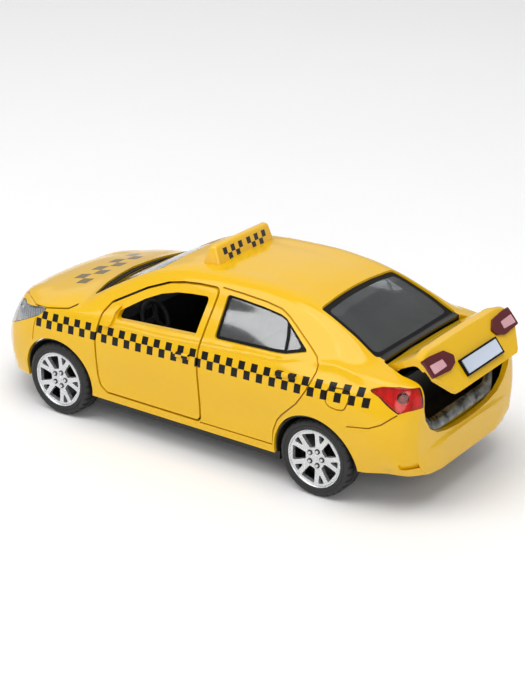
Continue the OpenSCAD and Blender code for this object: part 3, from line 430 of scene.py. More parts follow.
def pair(made, body, finishes, replaces=None, edge=None):
    """Places a left piece and its twin on the right. A star in a name stands for left or right."""
    twin = linked(made.name.replace("left", "right"), made.data.copy())
    twin.data.transform(FLIP)
    twin.data.flip_normals()
    for shape, hand in ((made, "left"), (twin, "right")):
        nodes = [replaces.replace("*", hand)] if replaces else ()
        place(shape, body.replace("*", hand), finishes, nodes)
        if edge:
            soft_edge(shape, edge)


# %% [markdown]
# Finishes are small recipes on Object coordinates. A class wraps a shader socket, so that a recipe can be
# written as plain arithmetic, and each operator adds its Math node.

# %% Arithmetic on shader values
class Value:
    def __init__(self, tree, socket):
        self.tree, self.socket = tree, socket

    def node(self, kind, inputs, out=0, **settings):
        """Any node: its settings first, then the values or links of its sockets."""
        made = self.tree.nodes.new("ShaderNode" + kind)
        for key, setting in settings.items():
            setattr(made, key, setting)
        for key, value in inputs.items():
            if isinstance(value, Value):
                self.tree.links.new(value.socket, made.inputs[key])
            else:
                made.inputs[key].default_value = value
        return Value(self.tree, made.outputs[out])

    def math(self, operation, *values):
        return self.node("Math", dict(enumerate(values)), operation=operation)

    def __add__(self, other): return self.math("ADD", self, other)
    def __sub__(self, other): return self.math("SUBTRACT", self, other)
    def __mul__(self, other): return self.math("MULTIPLY", self, other)
    def __truediv__(self, other): return self.math("DIVIDE", self, other)
    def __gt__(self, other): return self.math("GREATER_THAN", self, other)
    def __lt__(self, other): return self.math("LESS_THAN", self, other)
    def __radd__(self, other): return self.math("ADD", other, self)
    def __rsub__(self, other): return self.math("SUBTRACT", other, self)
    def __rmul__(self, other): return self.math("MULTIPLY", other, self)

    def axes(self):
        """The x, y and z of a place, in millimetres."""
        parts = [self.node("SeparateXYZ", {0: self}, out=k) for k in range(3)]
        return [part * 1000 for part in parts]

    def noise(self, scale, detail=2.0):
        return self.node("TexNoise", {"Vector": self, "Scale": scale, "Detail": detail})

    def between(self, low, high):
        return (self > low) * (self < high)

    def even(self):
        """1 in every second unit of a value, counted from zero."""
        half = self.math("FLOORED_MODULO", self, 2.0)
        return half < 1.0

    def colours(self, a, b):
        """Colour a where the value is 0, colour b where it is 1."""
        return self.node("Mix", {0: self, 6: a, 7: b}, out=2, data_type="RGBA")

    def bump(self, strength, depth):
        return self.node("Bump", {"Height": self, "Strength": strength, "Distance": depth * MM})


def rgb(code):
    """A colour of the screen as the linear colour that a shader takes."""
    parts = [int(code[k:k + 2], 16) / 255 for k in (0, 2, 4)]
    return tuple(p / 12.92 if p < 0.04045 else ((p + 0.055) / 1.055) ** 2.4 for p in parts) + (1.0,)


def finish(name, recipe, **fixed):
    """A material: constants on the shader's own sockets, and a recipe for what varies."""
    made = bpy.data.materials.new(name)
    made.use_nodes = True
    tree = made.node_tree
    shader = tree.nodes["Principled BSDF"]
    for key, value in fixed.items():
        shader.inputs[key.replace("_", " ")].default_value = value
    at = Value(tree, tree.nodes.new("ShaderNodeTexCoord").outputs["Object"])
    for key, value in recipe(at).items():
        tree.links.new(value.socket, shader.inputs[key.replace("_", " ")])
    return made


def grained(dark, light, scale, rough, bump, fine=4.0):
    """A recipe for moulded or cast surfaces: two tones, uneven gloss and a fine relief."""
    def recipe(at):
        cloud, grain = at.noise(scale, 3.0), at.noise(scale * fine, 2.0)
        return {
            "Base_Color": cloud.colours(rgb(dark), rgb(light)),
            "Roughness": rough[0] + grain * (rough[1] - rough[0]),
            "Normal": grain.bump(bump, 0.03),
        }
    return recipe


# %% [markdown]
# Taxi paint is a warm yellow under a hard gloss. The two rows of black checks run along both flanks on one
# rising line, so they are painted by place: the line is a cubic in x, and the squares alternate along it.
# The bonnet has one band of grey checks across it. Squares in a shader keep their edges at any distance.

# %% Taxi paint
YELLOW, YELLOW_DEEP, BLACK_PRINT, GREY_PRINT = rgb("E6B70E"), rgb("E2B00A"), rgb("0C0A08"), rgb("4E4430")
LINE_Z, LINE_FALL, LINE_BEND, LINE_TWIST = 23.92, 0.0292, 8.0e-5, 3.9e-6  # the line of the flank checks
CHECK_X, CHECK_LONG, CHECK_COUNT, CHECK_UP, CHECK_DOWN, FLANK_Y = 40.6, 1.622, 54.0, 1.7, -1.9, 18.5
BAND_X, BAND_LONG, BAND_Y, BAND_WIDE, BAND_HALF, BAND_Z = 37.2, 3.2, 39.65, 3.05, 12.2, 23.0  # on the bonnet
GUTTER_X, GUTTER_HALF, GUTTER_Z = (-45.2, -43.4), 15.2, 26.5  # the black strip in front of the lid


def taxi_paint(at):
    x, y, z = at.axes()
    wide = y.math("ABSOLUTE", y)
    row = z - (LINE_Z + x * (x * (LINE_BEND - x * LINE_TWIST) - LINE_FALL))
    run = (CHECK_X - x) / CHECK_LONG
    flip = run.even()
    upper = row.between(0.0, CHECK_UP) * flip
    lower = row.between(CHECK_DOWN, 0.0) * (1 - flip)
    stripe = (upper + lower) * run.between(-1.0, CHECK_COUNT) * (wide > FLANK_Y)
    along = (x - BAND_X) / BAND_LONG
    squares = ((y + BAND_Y) / BAND_WIDE + along.math("FLOOR", along)).even()
    bonnet = x.between(BAND_X, BAND_X + 2 * BAND_LONG) * squares * (wide < BAND_HALF) * (z > BAND_Z)
    gutter = x.between(*GUTTER_X) * (wide < GUTTER_HALF) * (z > GUTTER_Z)
    cloud = at.noise(60.0)
    body = cloud.colours(YELLOW, YELLOW_DEEP)
    body = (bonnet * 0.85).colours(body, GREY_PRINT)
    body = gutter.colours(body, BLACK_PRINT)
    return {
        "Base_Color": stripe.colours(body, BLACK_PRINT),
        "Coat_Weight": 0.3 - stripe * 0.3,
        "Roughness": 0.13 + cloud * 0.08 + stripe * 0.2,
        "Normal": at.noise(2600.0, 1.0).bump(0.03, 0.02),
    }


paint = finish("taxi_paint", taxi_paint, Coat_Roughness=0.04, Specular_IOR_Level=0.28)
# Darker amber on the liner's outer face, seen through the grooves: painted shade in the grooves.
groove_shade_paint = finish("painted_groove_shade", grained("9A6A08", "B07C0A", 400.0, (0.4, 0.55), 0.1))
# Near-black for the inside of the shell and the door jambs: painted shade where the inside of the casting
# lies in shadow. The wheel wells take it too.
black_and_painted_shade = finish("black_and_painted_shade_inside", grained("0B0A0A", "141312", 300.0, (0.5, 0.7), 0.15))
print("materials", len(bpy.data.materials))

# %% [markdown]
# Every opening, panel and engraved line is an outline in thousandths of the body. It is seen from the side,
# from above or from behind, and its tool is pushed through from outside.

# %% Outlines on the body
DOOR = [
    (345, 221), (375, 258), (386, 320), (390, 532), (378, 680), (357, 735), (221, 842), (128, 896),
    (60, 918), (-15, 931), (-114, 938), (-98, 636), (-106, 446), (-108, 250), (-95, 221),
]
DOOR_WINDOW = [
    (304, 664), (300, 708), (208, 790), (141, 834), (70, 862), (6.8, 874), (-75, 884), (-65.5, 695.5),
]
REAR_WINDOW = [
    (-148, 916), (-216, 913), (-313, 903), (-388, 889), (-415, 876), (-529, 770), (-536, 757), (-454, 725),
    (-417, 720), (-148, 705),
]
HEADLAMP = [
    (641, 617), (671, 617), (774, 592), (817, 592), (900, 540), (960, 455), (1020, 405), (1020, 375),
    (930, 400), (853, 452), (764, 511), (681, 568),
]
TAIL_LAMP = [
    (-810, 675), (-858, 698), (-914, 705), (-951, 700), (-1020, 695), (-1020, 600), (-954, 593),
    (-930, 580), (-891, 618), (-855, 652),
]
WINDSCREEN = [(535, 0), (510, 450), (478, 725), (290, 600), (200, 540), (185, 300), (180, 0)]
REAR_SCREEN = [(-505, 0), (-508, 350), (-515, 575), (-660, 615), (-772, 650), (-778, 0)]
LID_TOP = [(-812, 0), (-812, 630), (-900, 700), (-1100, 715), (-1100, 0)]
LID_BACK = [(0, 900), (715, 900), (715, 600), (540, 473), (500, 458), (0, 458)]
MOUTH = [
    (0, 900), (715, 900), (715, 600), (690, 525), (625, 468), (510, 423), (350, 400), (180, 391), (0, 389),
]
GRILLE = [(0, 390), (340, 385), (370, 345), (0, 335)]
INTAKE = [(0, 300), (400, 300), (480, 225), (0, 225)]
REAR_DOOR_LINE = [
    (-118, 938), (-216, 935), (-313, 927), (-385, 911), (-425, 886), (-490, 829), (-522, 802), (-553, 775),
    (-580, 750), (-597, 723), (-598, 688), (-593, 653), (-578, 598), (-562, 559), (-541, 513), (-508, 467),
    (-474, 419), (-452, 379), (-432, 310), (-425, 225), (-100, 222),
]
FUEL_FLAP = [
    (-668, 641), (-662, 625), (-660, 600), (-663, 574), (-670, 560), (-681, 551), (-710, 546), (-733, 551),
    (-742, 562), (-751, 600), (-752, 635), (-746, 647), (-720, 650), (-680, 647),
]
BUMPER_JOINT = [(-752, 470), (-791, 481), (-837, 492), (-882, 523), (-910, 557), (-928, 577)]
REFLECTOR = [(-931, 263), (-931, 305), (-985, 310), (-985, 270)]
FRONT_JOINT = [(690, 555), (700, 500), (707, 420)]
BONNET_EDGE = [(945, 512), (900, 572), (830, 607), (710, 612), (645, 620), (538, 650), (512, 672)]
GAP, FIT, SIDE_OUT = 0.5, 0.04, 25.5
DOOR_IN, LAMP_IN, HEADLAMP_IN, LINE_IN = 9.8, 18.05, 10.29, 12.0
WHEEL_Z, FRONT_X, REAR_X, ARCH_R = 8.65, 36.376, -33.654, 10.1
SKIN, LINER, PANEL, MOUTH_FORWARD = 0.42, (0.4, 1.2), 1.2, 0.6
SCREEN_CUT, NOSE_CUT, DECK_CUT, LID_CUT = (24.2, 42.0), (52.4, 62.0), (0.0, 41.4), (-58.0, -39.3)


def from_side(shares, by, radius, inside=DOOR_IN):
    """A cut through the left flank: an outline grown by so much and with round corners."""
    outline = grown(side(shares), by) if by else side(shares)
    return rounded(outline, radius), "y", inside, SIDE_OUT


def both(points, inside):
    """An outline seen from the side, cut on the left and on the right."""
    return [(points, "y", inside, SIDE_OUT), (points, "y", -SIDE_OUT, -inside)]


def ring(x, z, radius):
    turn = np.linspace(0, 2 * pi, 72, endpoint=False)
    return np.stack([x + radius * np.cos(turn), z + radius * np.sin(turn)], -1)


def body_openings():
    cuts = both(rounded(side(DOOR), 1.5), DOOR_IN) + both(rounded(side(REAR_WINDOW), 0.8), DOOR_IN)
    cuts += both(rounded(side(TAIL_LAMP), 0.5), LAMP_IN) + both(rounded(side(HEADLAMP), 0.5), HEADLAMP_IN)
    cuts += [(rounded(above(shares), 1.0), "z", *SCREEN_CUT) for shares in (WINDSCREEN, REAR_SCREEN)]
    cuts += [(ring(x, WHEEL_Z, ARCH_R), "y", -SIDE_OUT, SIDE_OUT) for x in (FRONT_X, REAR_X)]
    cuts += [(rounded(behind(shares), 0.6), "x", *NOSE_CUT) for shares in (GRILLE, INTAKE)]
    return tool(cuts)


def boot_region(back, by, forward):
    """The room of the lid or of the boot mouth, bounded from above and from behind."""
    top = grown(above(LID_TOP), by) + np.array([forward, 0])
    room = tool([(rounded(top, 1.0), "z", *DECK_CUT)])
    return carve(room, tool([(rounded(grown(behind(back), by), 0.9), "x", *LID_CUT)]), "INTERSECT")


def engraved():
    lines = [(REAR_DOOR_LINE, 0.34), (FUEL_FLAP, 0.3), (BUMPER_JOINT, 0.3), (FRONT_JOINT, 0.26),
             (BONNET_EDGE, 0.3)]
    cuts = sum((both(ribbon(side(line), width), LINE_IN) for line, width in lines), [])
    return tool(cuts + both(rounded(side(REFLECTOR), 0.5), LINE_IN))


# %% [markdown]
# The shell has two layers. The outer one carries the engraved lines, which are cut right through it, and the
# liner behind closes them 0.4 mm down. That gives crisp grooves without a very fine mesh.

# %% The shell
CORE_Z, BUMPER_X, BUMPER_Z = 16, -50, 14


def opened(made):
    """Cuts the openings of the shell and the mouth of the boot."""
    carve(made, body_openings())
    return carve(made, boot_region(MOUTH, GAP, MOUTH_FORWARD))


def painted_shell():
    made = opened(shaped(skin(steps_along(-1, 1), steps_round(), 0, SKIN, ends=True), "shell_skin"))
    carve(made, engraved())
    soft_edge(place(made, "car", [paint], ["body_shell"]), 0.1)


def shell_liner():
    """The layer below: paint behind the reflectors, darker amber in the grooves as painted shade, and
    near-black inside as painted shade.
    """
    bm = skin(steps_along(-1, 1, 0.025), steps_round()[::2], *LINER, ends=True)
    for face in bm.faces:
        middle = face.calc_center_median()
        inward = Vector((MID_X + (middle.x - MID_X) * 0.9, 0, CORE_Z)) - middle
        behind_reflector = middle.x < BUMPER_X and middle.z < BUMPER_Z
        # Outer faces take the darker amber, painted shade in the grooves, except behind the reflectors; inner
        # faces take the near-black, painted shade inside the shell.
        face.material_index = 2 if face.normal.dot(inward) > 0 else 0 if behind_reflector else 1
    made = opened(shaped(bm, "shell_liner"))
    place(made, "car", [paint, groove_shade_paint, black_and_painted_shade])


painted_shell()
shell_liner()

# %% [markdown]
# Inside the shell there are fittings of the same casting: the screw posts, the sill panel behind the boot,
# and the ears that carry the boot hinge. They are plain pressed or cored forms with broken edges, so boxes
# and cones with a bevel are the honest way to make them.

# %% Fittings of the shell
SILL_X, SILL_W, TRAY_Z, SILL_TOP = -53.13, 13.72, 13.01, 17.5
FRONT_POST, REAR_POST, POST_R = (47.69, 0, 15.8), (-44.55, 0, 9.8), 2.2
LID_AXIS = Vector((-46.549, 0, 29.088))
LID_OPEN = radians(38)


def block(bm, low, high):
    made = bmesh.ops.create_cube(bm, size=1)["verts"]
    bmesh.ops.scale(bm, vec=Vector(high) - Vector(low), verts=made)
    bmesh.ops.translate(bm, vec=(Vector(high) + Vector(low)) / 2, verts=made)
    return made


def round_bar(bm, middle, axis, radius, length, steps=32, tip=None):
    made = bmesh.ops.create_cone(bm, cap_ends=True, segments=steps, radius1=radius,
                                 radius2=radius if tip is None else tip, depth=length)["verts"]
    if axis == "y":
        bmesh.ops.rotate(bm, verts=made, matrix=Matrix.Rotation(-pi / 2, 3, "X"))
    bmesh.ops.translate(bm, vec=middle, verts=made)
    return made


def lathe(bm, profile, steps=80):
    """A closed profile of radius and height, spun about the z axis."""
    verts = [bm.verts.new((r, 0, h)) for r, h in profile]
    edges = [bm.edges.new(p) for p in zip(verts, verts[1:] + verts[:1])]
    bmesh.ops.spin(bm, geom=verts + edges, axis=(0, 0, 1), cent=(0, 0, 0), angle=2 * pi, steps=steps,
                   use_merge=True)
    bmesh.ops.remove_doubles(bm, verts=bm.verts, dist=0.02)
    bmesh.ops.recalc_face_normals(bm, faces=bm.faces)


def bevelled(bm, edges, width, segments, clamp=False):
    return bmesh.ops.bevel(bm, geom=edges, offset=width, segments=segments, profile=0.5, affect="EDGES",
                           material=-1, clamp_overlap=clamp)["verts"]


def broken_edges(bm, width, angle=50):
    """Bevels every edge that turns by more than the angle, as far as there is room."""
    sharp = [e for e in bm.edges if len(e.link_faces) == 2 and e.calc_face_angle() > radians(angle)]
    bevelled(bm, sharp, width, 2, clamp=True)


def shell_fittings():
    bm = bmesh.new()
    block(bm, (SILL_X - 1, -SILL_W, TRAY_Z), (SILL_X, SILL_W, SILL_TOP))
    block(bm, (SILL_X - 3.2, -SILL_W, TRAY_Z), (SILL_X, SILL_W, TRAY_Z + 1))
    block(bm, (-56.0, -POST_R, 9.7), (REAR_POST[0], POST_R, TRAY_Z))
    round_bar(bm, FRONT_POST, "z", POST_R, 18.4)
    round_bar(bm, REAR_POST, "z", POST_R, 6.4)
    for y in (16.9, -16.9):
        round_bar(bm, (LID_AXIS.x, y, LID_AXIS.z), "y", 0.85, 1.4)
    broken_edges(bm, 0.2)
    place(shaped(bm, "shell_fittings"), "car", [paint])


shell_fittings()

# %% [markdown]
# The front doors are cut out of the same sheet, half a millimetre smaller all round, so a thin dark line is
# left between door and body. Each has a dark lining, a handle, the foot of a mirror and the knuckles of its
# hinge. The rear doors do not open: they are engraved and only get a handle.

# %% Front doors
door_lining = finish("door_lining", grained("141415", "1F1F20", 340.0, (0.45, 0.65), 0.25))
PIN_X, PIN_Y, DOOR_ROUND = 21.425, 22.632, (0, 6.4)
KNUCKLES = ((9.5, 10.86), (12.77, 15.34), (17.25, 18.98))
HANDLE_DEEP, HANDLE_CLEAR = 0.9, 0.15
MIRROR_FOOT = [
    (325, 737), (355, 668), (358, 634), (345, 622), (316, 632), (312, 660), (309, 708), (293, 735),
]


def flank_y(s, z):
    """How far out the skin stands at a side-view place."""
    section = sheet(np.array([s]), steps_round(0, 5, 3), 0)[0]
    return float(np.interp(z, section[:, 2], section[:, 1]))


def door_handle(bm, low, high, tilt, z):
    """A grip between two side-view places, standing clear of the skin at height z."""
    (x0, z0), (x1, z1) = side([low, high])
    grip = bmesh.ops.create_cube(bm, size=1)["verts"]
    bmesh.ops.scale(bm, vec=(x1 - x0, HANDLE_DEEP, z1 - z0), verts=grip)
    soft = bevelled(bm, list(dict.fromkeys(e for v in grip for e in v.link_edges)), 0.32, 4)
    bmesh.ops.rotate(bm, verts=soft, matrix=Matrix.Rotation(radians(tilt), 3, "Y"))
    out = flank_y((low[0] + high[0]) / 2000, z) + HANDLE_CLEAR
    bmesh.ops.translate(bm, vec=((x0 + x1) / 2, out, (z0 + z1) / 2), verts=soft)


def front_door():
    cut = from_side(DOOR, -GAP, 1.1)
    made = slice_of("left_door_panel", (-0.125, 0.4, 0.009), DOOR_ROUND, (0, PANEL), [cut])
    carve(made, tool([from_side(DOOR_WINDOW, 0, 0.9)]))
    for face in made.data.polygons:
        face.material_index = 1 if face.normal.y < -0.3 else 0
    return made


def door_fittings():
    bm = bmesh.new()
    door_handle(bm, (-62, 572), (10, 602), 2, 23.7)
    for bottom, top in KNUCKLES:
        round_bar(bm, (PIN_X, PIN_Y - 0.15, (bottom + top) / 2), "z", 0.95, top - bottom, 20)
    for face in bm.faces:
        face.material_index = 1 if face.calc_center_median().y < PIN_Y + 1 else 0
    return shaped(bm, "left_door_fittings")


def mirror_foot():
    """The raised foot of a mirror, between the shut line and the window."""
    cut = from_side(MIRROR_FOOT, 0, 0.9)
    return slice_of("left_mirror_foot", (0.27, 0.38, 0.006), DOOR_ROUND, (-0.7, 0.3), [cut])


def rear_handle():
    bm = bmesh.new()
    door_handle(bm, (-528, 628), (-440, 656), 3, 25.9)
    return shaped(bm, "left_rear_handle")


def door_jamb():
    """A black ledge behind the shut line, as painted shade in the gap, except at the hinge, where the door
    turns inwards.
    """
    cut = from_side(DOOR, 1.0, 1.5)
    made = slice_of("left_door_jamb", (-0.15, 0.26, 0.012), DOOR_ROUND, (1.4, 1.7), [cut])
    return carve(made, tool([from_side(DOOR, -1.5, 1.0)]))


panel, fittings, foot = front_door(), door_fittings(), mirror_foot()
pair(panel, "*_door", [paint, door_lining], "*_door", 0.18)
pair(fittings, "*_door", [paint, door_lining])
pair(foot, "*_door", [paint], edge=0.45)
handle, jamb = rear_handle(), door_jamb()
pair(handle, "car", [paint])
pair(jamb, "car", [black_and_painted_shade])

# %% [markdown]
# The boot lid stands open by 38 degrees. It is cut from the closed body, as a slab that follows the deck and
# the rear face, and then turned about its rod. Everything on the lid is made closed and turned the same way.

# %% Boot lid
def swung(made):
    """Turns a piece of the closed lid into the open position."""
    made.data.transform(Matrix.Translation(LID_AXIS) @ Matrix.Rotation(LID_OPEN, 4, "Y")
                        @ Matrix.Translation(-LID_AXIS))
    return made


def lid_panel():
    slab = skin(steps_along(-0.9925, -0.79, 0.008), steps_round(2.4, 11.6), 0, PANEL)
    return swung(carve(shaped(slab, "boot_lid_panel"), boot_region(LID_BACK, 0, 0), "INTERSECT"))


def lid_knuckle():
    bm = bmesh.new()
    for y in (-9.6, 9.6):
        round_bar(bm, (LID_AXIS.x, y, LID_AXIS.z), "y", 1.0, 10.6)
    broken_edges(bm, 0.15)
    return swung(shaped(bm, "lid_knuckle"))


soft_edge(place(lid_panel(), "boot_lid", [paint], ["boot_lid"]), 0.18)
place(lid_knuckle(), "boot_lid", [paint])

# %% [markdown]
# Lamps are clear mouldings over a coloured reflector. The lens is a thin slice of the body sheet, nearly
# clear and very glossy, and the reflector lies deeper with ribs and a round bulb cup, so the lamp has depth.
# The lamps on the lid are plain dark red mouldings, each with a paler reversing lamp.

# %% Lamp finishes
def glossy(tint, deep, scale=260.0, detail=2.0, rough=(0.06, 0.06)):
    """A recipe for lenses and panes: two close tints and an uneven gloss."""
    def recipe(at):
        cloud = at.noise(scale, detail)
        return {"Base_Color": cloud.colours(rgb(tint), rgb(deep)), "Roughness": rough[0] + cloud * rough[1]}
    return recipe


def ribbed_painted_streaks(dark, light, pitch, rough):
    """A reflector with fine upright ribs, and lighter streaks painted along them as highlights over an uneven
    tone.
    """
    def recipe(at):
        x, y, z = at.axes()
        along = (x + y * 0.6) / pitch
        wave = along.math("SINE", along) * 0.5 + 0.5
        cloud = at.noise(500.0)
        # Lighter rib crests in the colour are painted highlights; the bump gives the ribs their relief.
        return {"Base_Color": (wave * 0.6 + cloud * 0.4).colours(rgb(dark), rgb(light)),
                "Roughness": rough + cloud * 0.15, "Normal": wave.bump(0.5, 0.08)}
    return recipe


red_lens = finish("red_lens", glossy("FF8A76", "FF7462"), Transmission_Weight=1.0, IOR=1.45)
red_reflector = finish("red_reflector", ribbed_painted_streaks("D4140C", "FF5236", 0.35, 0.2))
dark_red_lens = finish("dark_red_lens", glossy("5E0410", "48030B"), Coat_Weight=0.3, Specular_IOR_Level=0.3)
pink_window = finish("pale_reverse_lamp", glossy("D8A8AE", "C88E98"), Coat_Weight=0.4)
clear_lens = finish("clear_lens", glossy("F4F6F8", "ECEFF2"), Transmission_Weight=1.0, IOR=1.45)
silver_reflector = finish("silver_reflector", ribbed_painted_streaks("A4A9AE", "F2F4F6", 0.12, 0.14), Metallic=0.9)

# %% Lamps
LID_LAMP = [(722, 686), (630, 687), (420, 675), (325, 628), (365, 592), (470, 572), (722, 583)]
REVERSE_LAMP = [(690, 646), (500, 641), (490, 600), (690, 597)]
CUP = [(0.15, -0.5), (0.55, -0.35), (0.82, 0.0), (1.0, 0.12), (1.06, 0.0), (1.0, -0.6), (0.15, -0.6)]
TAIL = (TAIL_LAMP, (-0.9925, -0.78, 0.006), (1.5, 6.5), LAMP_IN + 0.05)
HEAD = (HEADLAMP, (0.6, 0.999, 0.01), (1.0, 7.0), HEADLAMP_IN + 0.05)
LID_LAMP_CUT = (-62.0, -52.78)


def lamp_slice(name, lamp, depths):
    shares, along, around, inside = lamp
    return slice_of(name, along, around, depths, [from_side(shares, -FIT, 0.45, inside)])


def bulb_cup(name, s, z, depth, radius, tilt):
    """A round cup seen through the lens, turned square to the skin."""
    bm = bmesh.new()
    lathe(bm, [(r * radius, h * radius) for r, h in CUP], 32)
    bmesh.ops.rotate(bm, verts=bm.verts, matrix=Matrix.Rotation(-pi / 2, 3, "X"))
    bmesh.ops.rotate(bm, verts=bm.verts, matrix=Matrix.Rotation(radians(tilt), 3, "Z"))
    x = MID_X + s * HALF_L
    bmesh.ops.translate(bm, vec=(x, flank_y(s, z * ROOF_H) - depth, z * ROOF_H), verts=bm.verts)
    return shaped(bm, name)


def lid_lamp(name, shares, depths, radius):
    cut = [(rounded(half_behind(shares), radius), "x", *LID_LAMP_CUT)]
    return swung(slice_of(name, (-0.9925, -0.9, 0.006), (2.4, 6.9), depths, cut))


pair(lamp_slice("left_tail_lens", TAIL, (0, 0.3)), "car", [red_lens], "*_tail_lamp")
pair(lamp_slice("left_tail_reflector", TAIL, (0.75, 1.2)), "car", [red_reflector])
pair(bulb_cup("left_tail_cup", -0.93, 0.652, 0.5, 1.15, 38), "car", [dark_red_lens])
pair(lamp_slice("left_head_lens", HEAD, (0, 0.25)), "car", [clear_lens], "*_headlamp")
pair(lamp_slice("left_head_reflector", HEAD, (0.8, 1.2)), "car", [silver_reflector])
pair(bulb_cup("left_head_cup", 0.815, 0.54, 0.9, 0.95, -32), "car", [silver_reflector])
pair(lid_lamp("left_lid_lens", LID_LAMP, (-0.5, 0.05), 0.5), "boot_lid", [dark_red_lens],
     "*_lid_lamp")
pair(lid_lamp("left_reverse_lamp", REVERSE_LAMP, (-0.6, -0.3), 0.3), "boot_lid", [pink_window])

# %% [markdown]
# The windows of the toy are one clear moulding behind the shell. Each pane is a slice of the same sheet, just
# below the paint, and a black printed border hides the moulding's edge. Glass is a mostly see-through
# glossy sheet that lets light through, so the cabin shows behind it and the room is mirrored at a low angle.

# %% Windows
PANE = (45.0, 3.0, (0.03, 0.08))
window_glass = finish("clear_window", glossy("DDE3E5", "F2F5F6", *PANE), Transmission_Weight=1.0, IOR=2.0)
# The smoked pane's tint runs from dark to pale grey in clouds: the pale clouds are painted reflections.
smoke_glass_painted_reflections = finish("smoked_window_painted_reflections", glossy("6E7274", "C4C8CA", *PANE), Transmission_Weight=0.9, IOR=1.4)
black_print = finish("black_window_print", grained("0A0A0B", "151516", 350.0, (0.45, 0.6), 0.05),
                     Specular_IOR_Level=0.15)
WINDSCREEN_CLEAR = [(500, 0), (478, 430), (452, 650), (300, 555), (222, 490), (206, 300), (203, 0)]
SCREEN_ROUND, PRINT, PANE_CUT, CLEAR_CUT = (2.8, 11.2), (SKIN, 0.5), (24.3, 41.5), (24.0, 41.8)
REAR_PILLAR = [(-412, 900), (-440, 800), (-452, 715)]


def bordered(name, along, around, cut, clear):
    """A black border: the slice inside the opening, less the clear part."""
    return carve(slice_of(name, along, around, PRINT, [cut]), tool([clear]))


def screens():
    for name, shares, along, clear, glass, nodes in (
        ("windscreen", WINDSCREEN, (0.15, 0.56, 0.012), above(WINDSCREEN_CLEAR), window_glass,
         ["window_insert"]),
        ("rear_screen", REAR_SCREEN, (-0.8, -0.48, 0.012), grown(above(REAR_SCREEN), -1.3), smoke_glass_painted_reflections, ()),
    ):
        cut = (rounded(grown(above(shares), -FIT), 1.0), "z", *PANE_CUT)
        pane = slice_of(name + "_glass", along, SCREEN_ROUND, (0.5, 1.0), [cut])
        place(pane, "car", [glass], nodes)
        border = bordered(name + "_border", along, SCREEN_ROUND, cut, (rounded(clear, 1.6), "z", *CLEAR_CUT))
        place(border, "car", [black_print])


def quarter_windows():
    along, around = (-0.56, -0.12, 0.012), (2.4, 6.6)
    cut = from_side(REAR_WINDOW, -FIT, 0.8)
    pane = slice_of("left_rear_glass", along, around, (0.55, 1.0), [cut])
    pair(pane, "car", [window_glass])
    one_corner = REAR_WINDOW[:5] + REAR_WINDOW[6:]
    border = bordered("left_rear_border", along, around, cut, from_side(one_corner, -0.6, 0.6))
    pair(border, "car", [black_print])
    bar = slice_of("left_rear_divider", along, around, (0.4, 0.54), [cut])
    carve(bar, tool([(ribbon(side(REAR_PILLAR), 0.62), "y", DOOR_IN, SIDE_OUT)]), "INTERSECT")
    pair(bar, "car", [black_print])


screens()
quarter_windows()

# %% [markdown]
# The number plate is a bare pale card in a black frame, and it goes up with the lid. Frame and card are
# blocks with an inset face and broken edges, made in the closed position and then swung like the lid.

# %% Number plate
PLATE_X, PLATE_Z, PLATE_W, PLATE_H, SURROUND = -56.12, 22.02, 7.0, 1.5, 0.4
plate_white = finish("plate_card", grained("BFC9DA", "CBD4E3", 220.0, (0.25, 0.4), 0.03))


def framed_block(name, half_w, half_h, outside, inside, rim, sunk):
    bm = bmesh.new()
    block(bm, (PLATE_X - outside, -half_w, PLATE_Z - half_h), (PLATE_X - inside, half_w, PLATE_Z + half_h))
    back = [f for f in bm.faces if f.normal.x < -0.9]
    bmesh.ops.inset_region(bm, faces=back, thickness=rim, depth=-sunk)
    broken_edges(bm, 0.09, 40)
    return swung(shaped(bm, name))


surround = framed_block("plate_surround", PLATE_W + SURROUND, PLATE_H + SURROUND, 0.75, -0.6, 0.38, 0.35)
place(surround, "boot_lid", [black_print], ["plate_frame"])
card = framed_block("plate_card", PLATE_W, PLATE_H, 0.68, 0.3, 0.22, 0.05)
place(card, "boot_lid", [plate_white], ["number_plate"])

# %% [markdown]
# The roof sign is a moulded wedge. A cube is pulled in at the top and its edges are rounded. The checks stand
# in two groups on both faces, three squares over two, and are painted by place.

# %% Roof sign
SIGN_X, SIGN_FOOT, SIGN_H, SIGN_HALF, SIGN_DEEP = 2.566, 38.58, 5.2, 10.6, 2.7
SIGN_CHECK, SIGN_FROM, SIGN_TO, SIGN_ROWS = 1.4, 0.83, 7.83, (0.12, 0.39, 0.66)


def sign_paint(at):
    x, y, z = at.axes()
    wide = y.math("ABSOLUTE", y)
    column = (wide - SIGN_FROM) / SIGN_CHECK
    high = (z - SIGN_FOOT - 0.85) / SIGN_H
    low, middle, top = SIGN_ROWS
    rows = high.between(middle, top) * column.even() + high.between(low, middle) * (1 - column.even())
    checks = rows * wide.between(SIGN_FROM, SIGN_TO)
    cloud = at.noise(90.0)
    return {"Base_Color": checks.colours(cloud.colours(rgb("EDBC18"), rgb("E8B512")), BLACK_PRINT),
            "Roughness": 0.3 + cloud * 0.1, "Normal": at.noise(1800.0).bump(0.04, 0.02)}


def roof_sign():
    bm = bmesh.new()
    low = (SIGN_X - SIGN_DEEP, -SIGN_HALF, SIGN_FOOT)
    high = (SIGN_X + SIGN_DEEP, SIGN_HALF, SIGN_FOOT + SIGN_H)
    top = [v for v in block(bm, low, high) if v.co.z > SIGN_FOOT + 1]
    ridge = Matrix.Translation((-SIGN_X, 0, 0))
    bmesh.ops.scale(bm, vec=(0.3, 0.94, 1), space=ridge, verts=top)
    bevelled(bm, bm.edges[:], 0.7, 5)
    return shaped(bm, "taxi_sign")


sign_finish = finish("sign_paint", sign_paint, Coat_Weight=0.5, Coat_Roughness=0.08)
place(roof_sign(), "car", [sign_finish], ["roof_sign"])

# %% [markdown]
# A wheel is turned on a lathe and then pierced: the barrel, the spoke plate and the tyre are profiles spun
# about the axle. Five wide and five slim holes leave five Y-shaped spokes, whose edges are then bevelled.

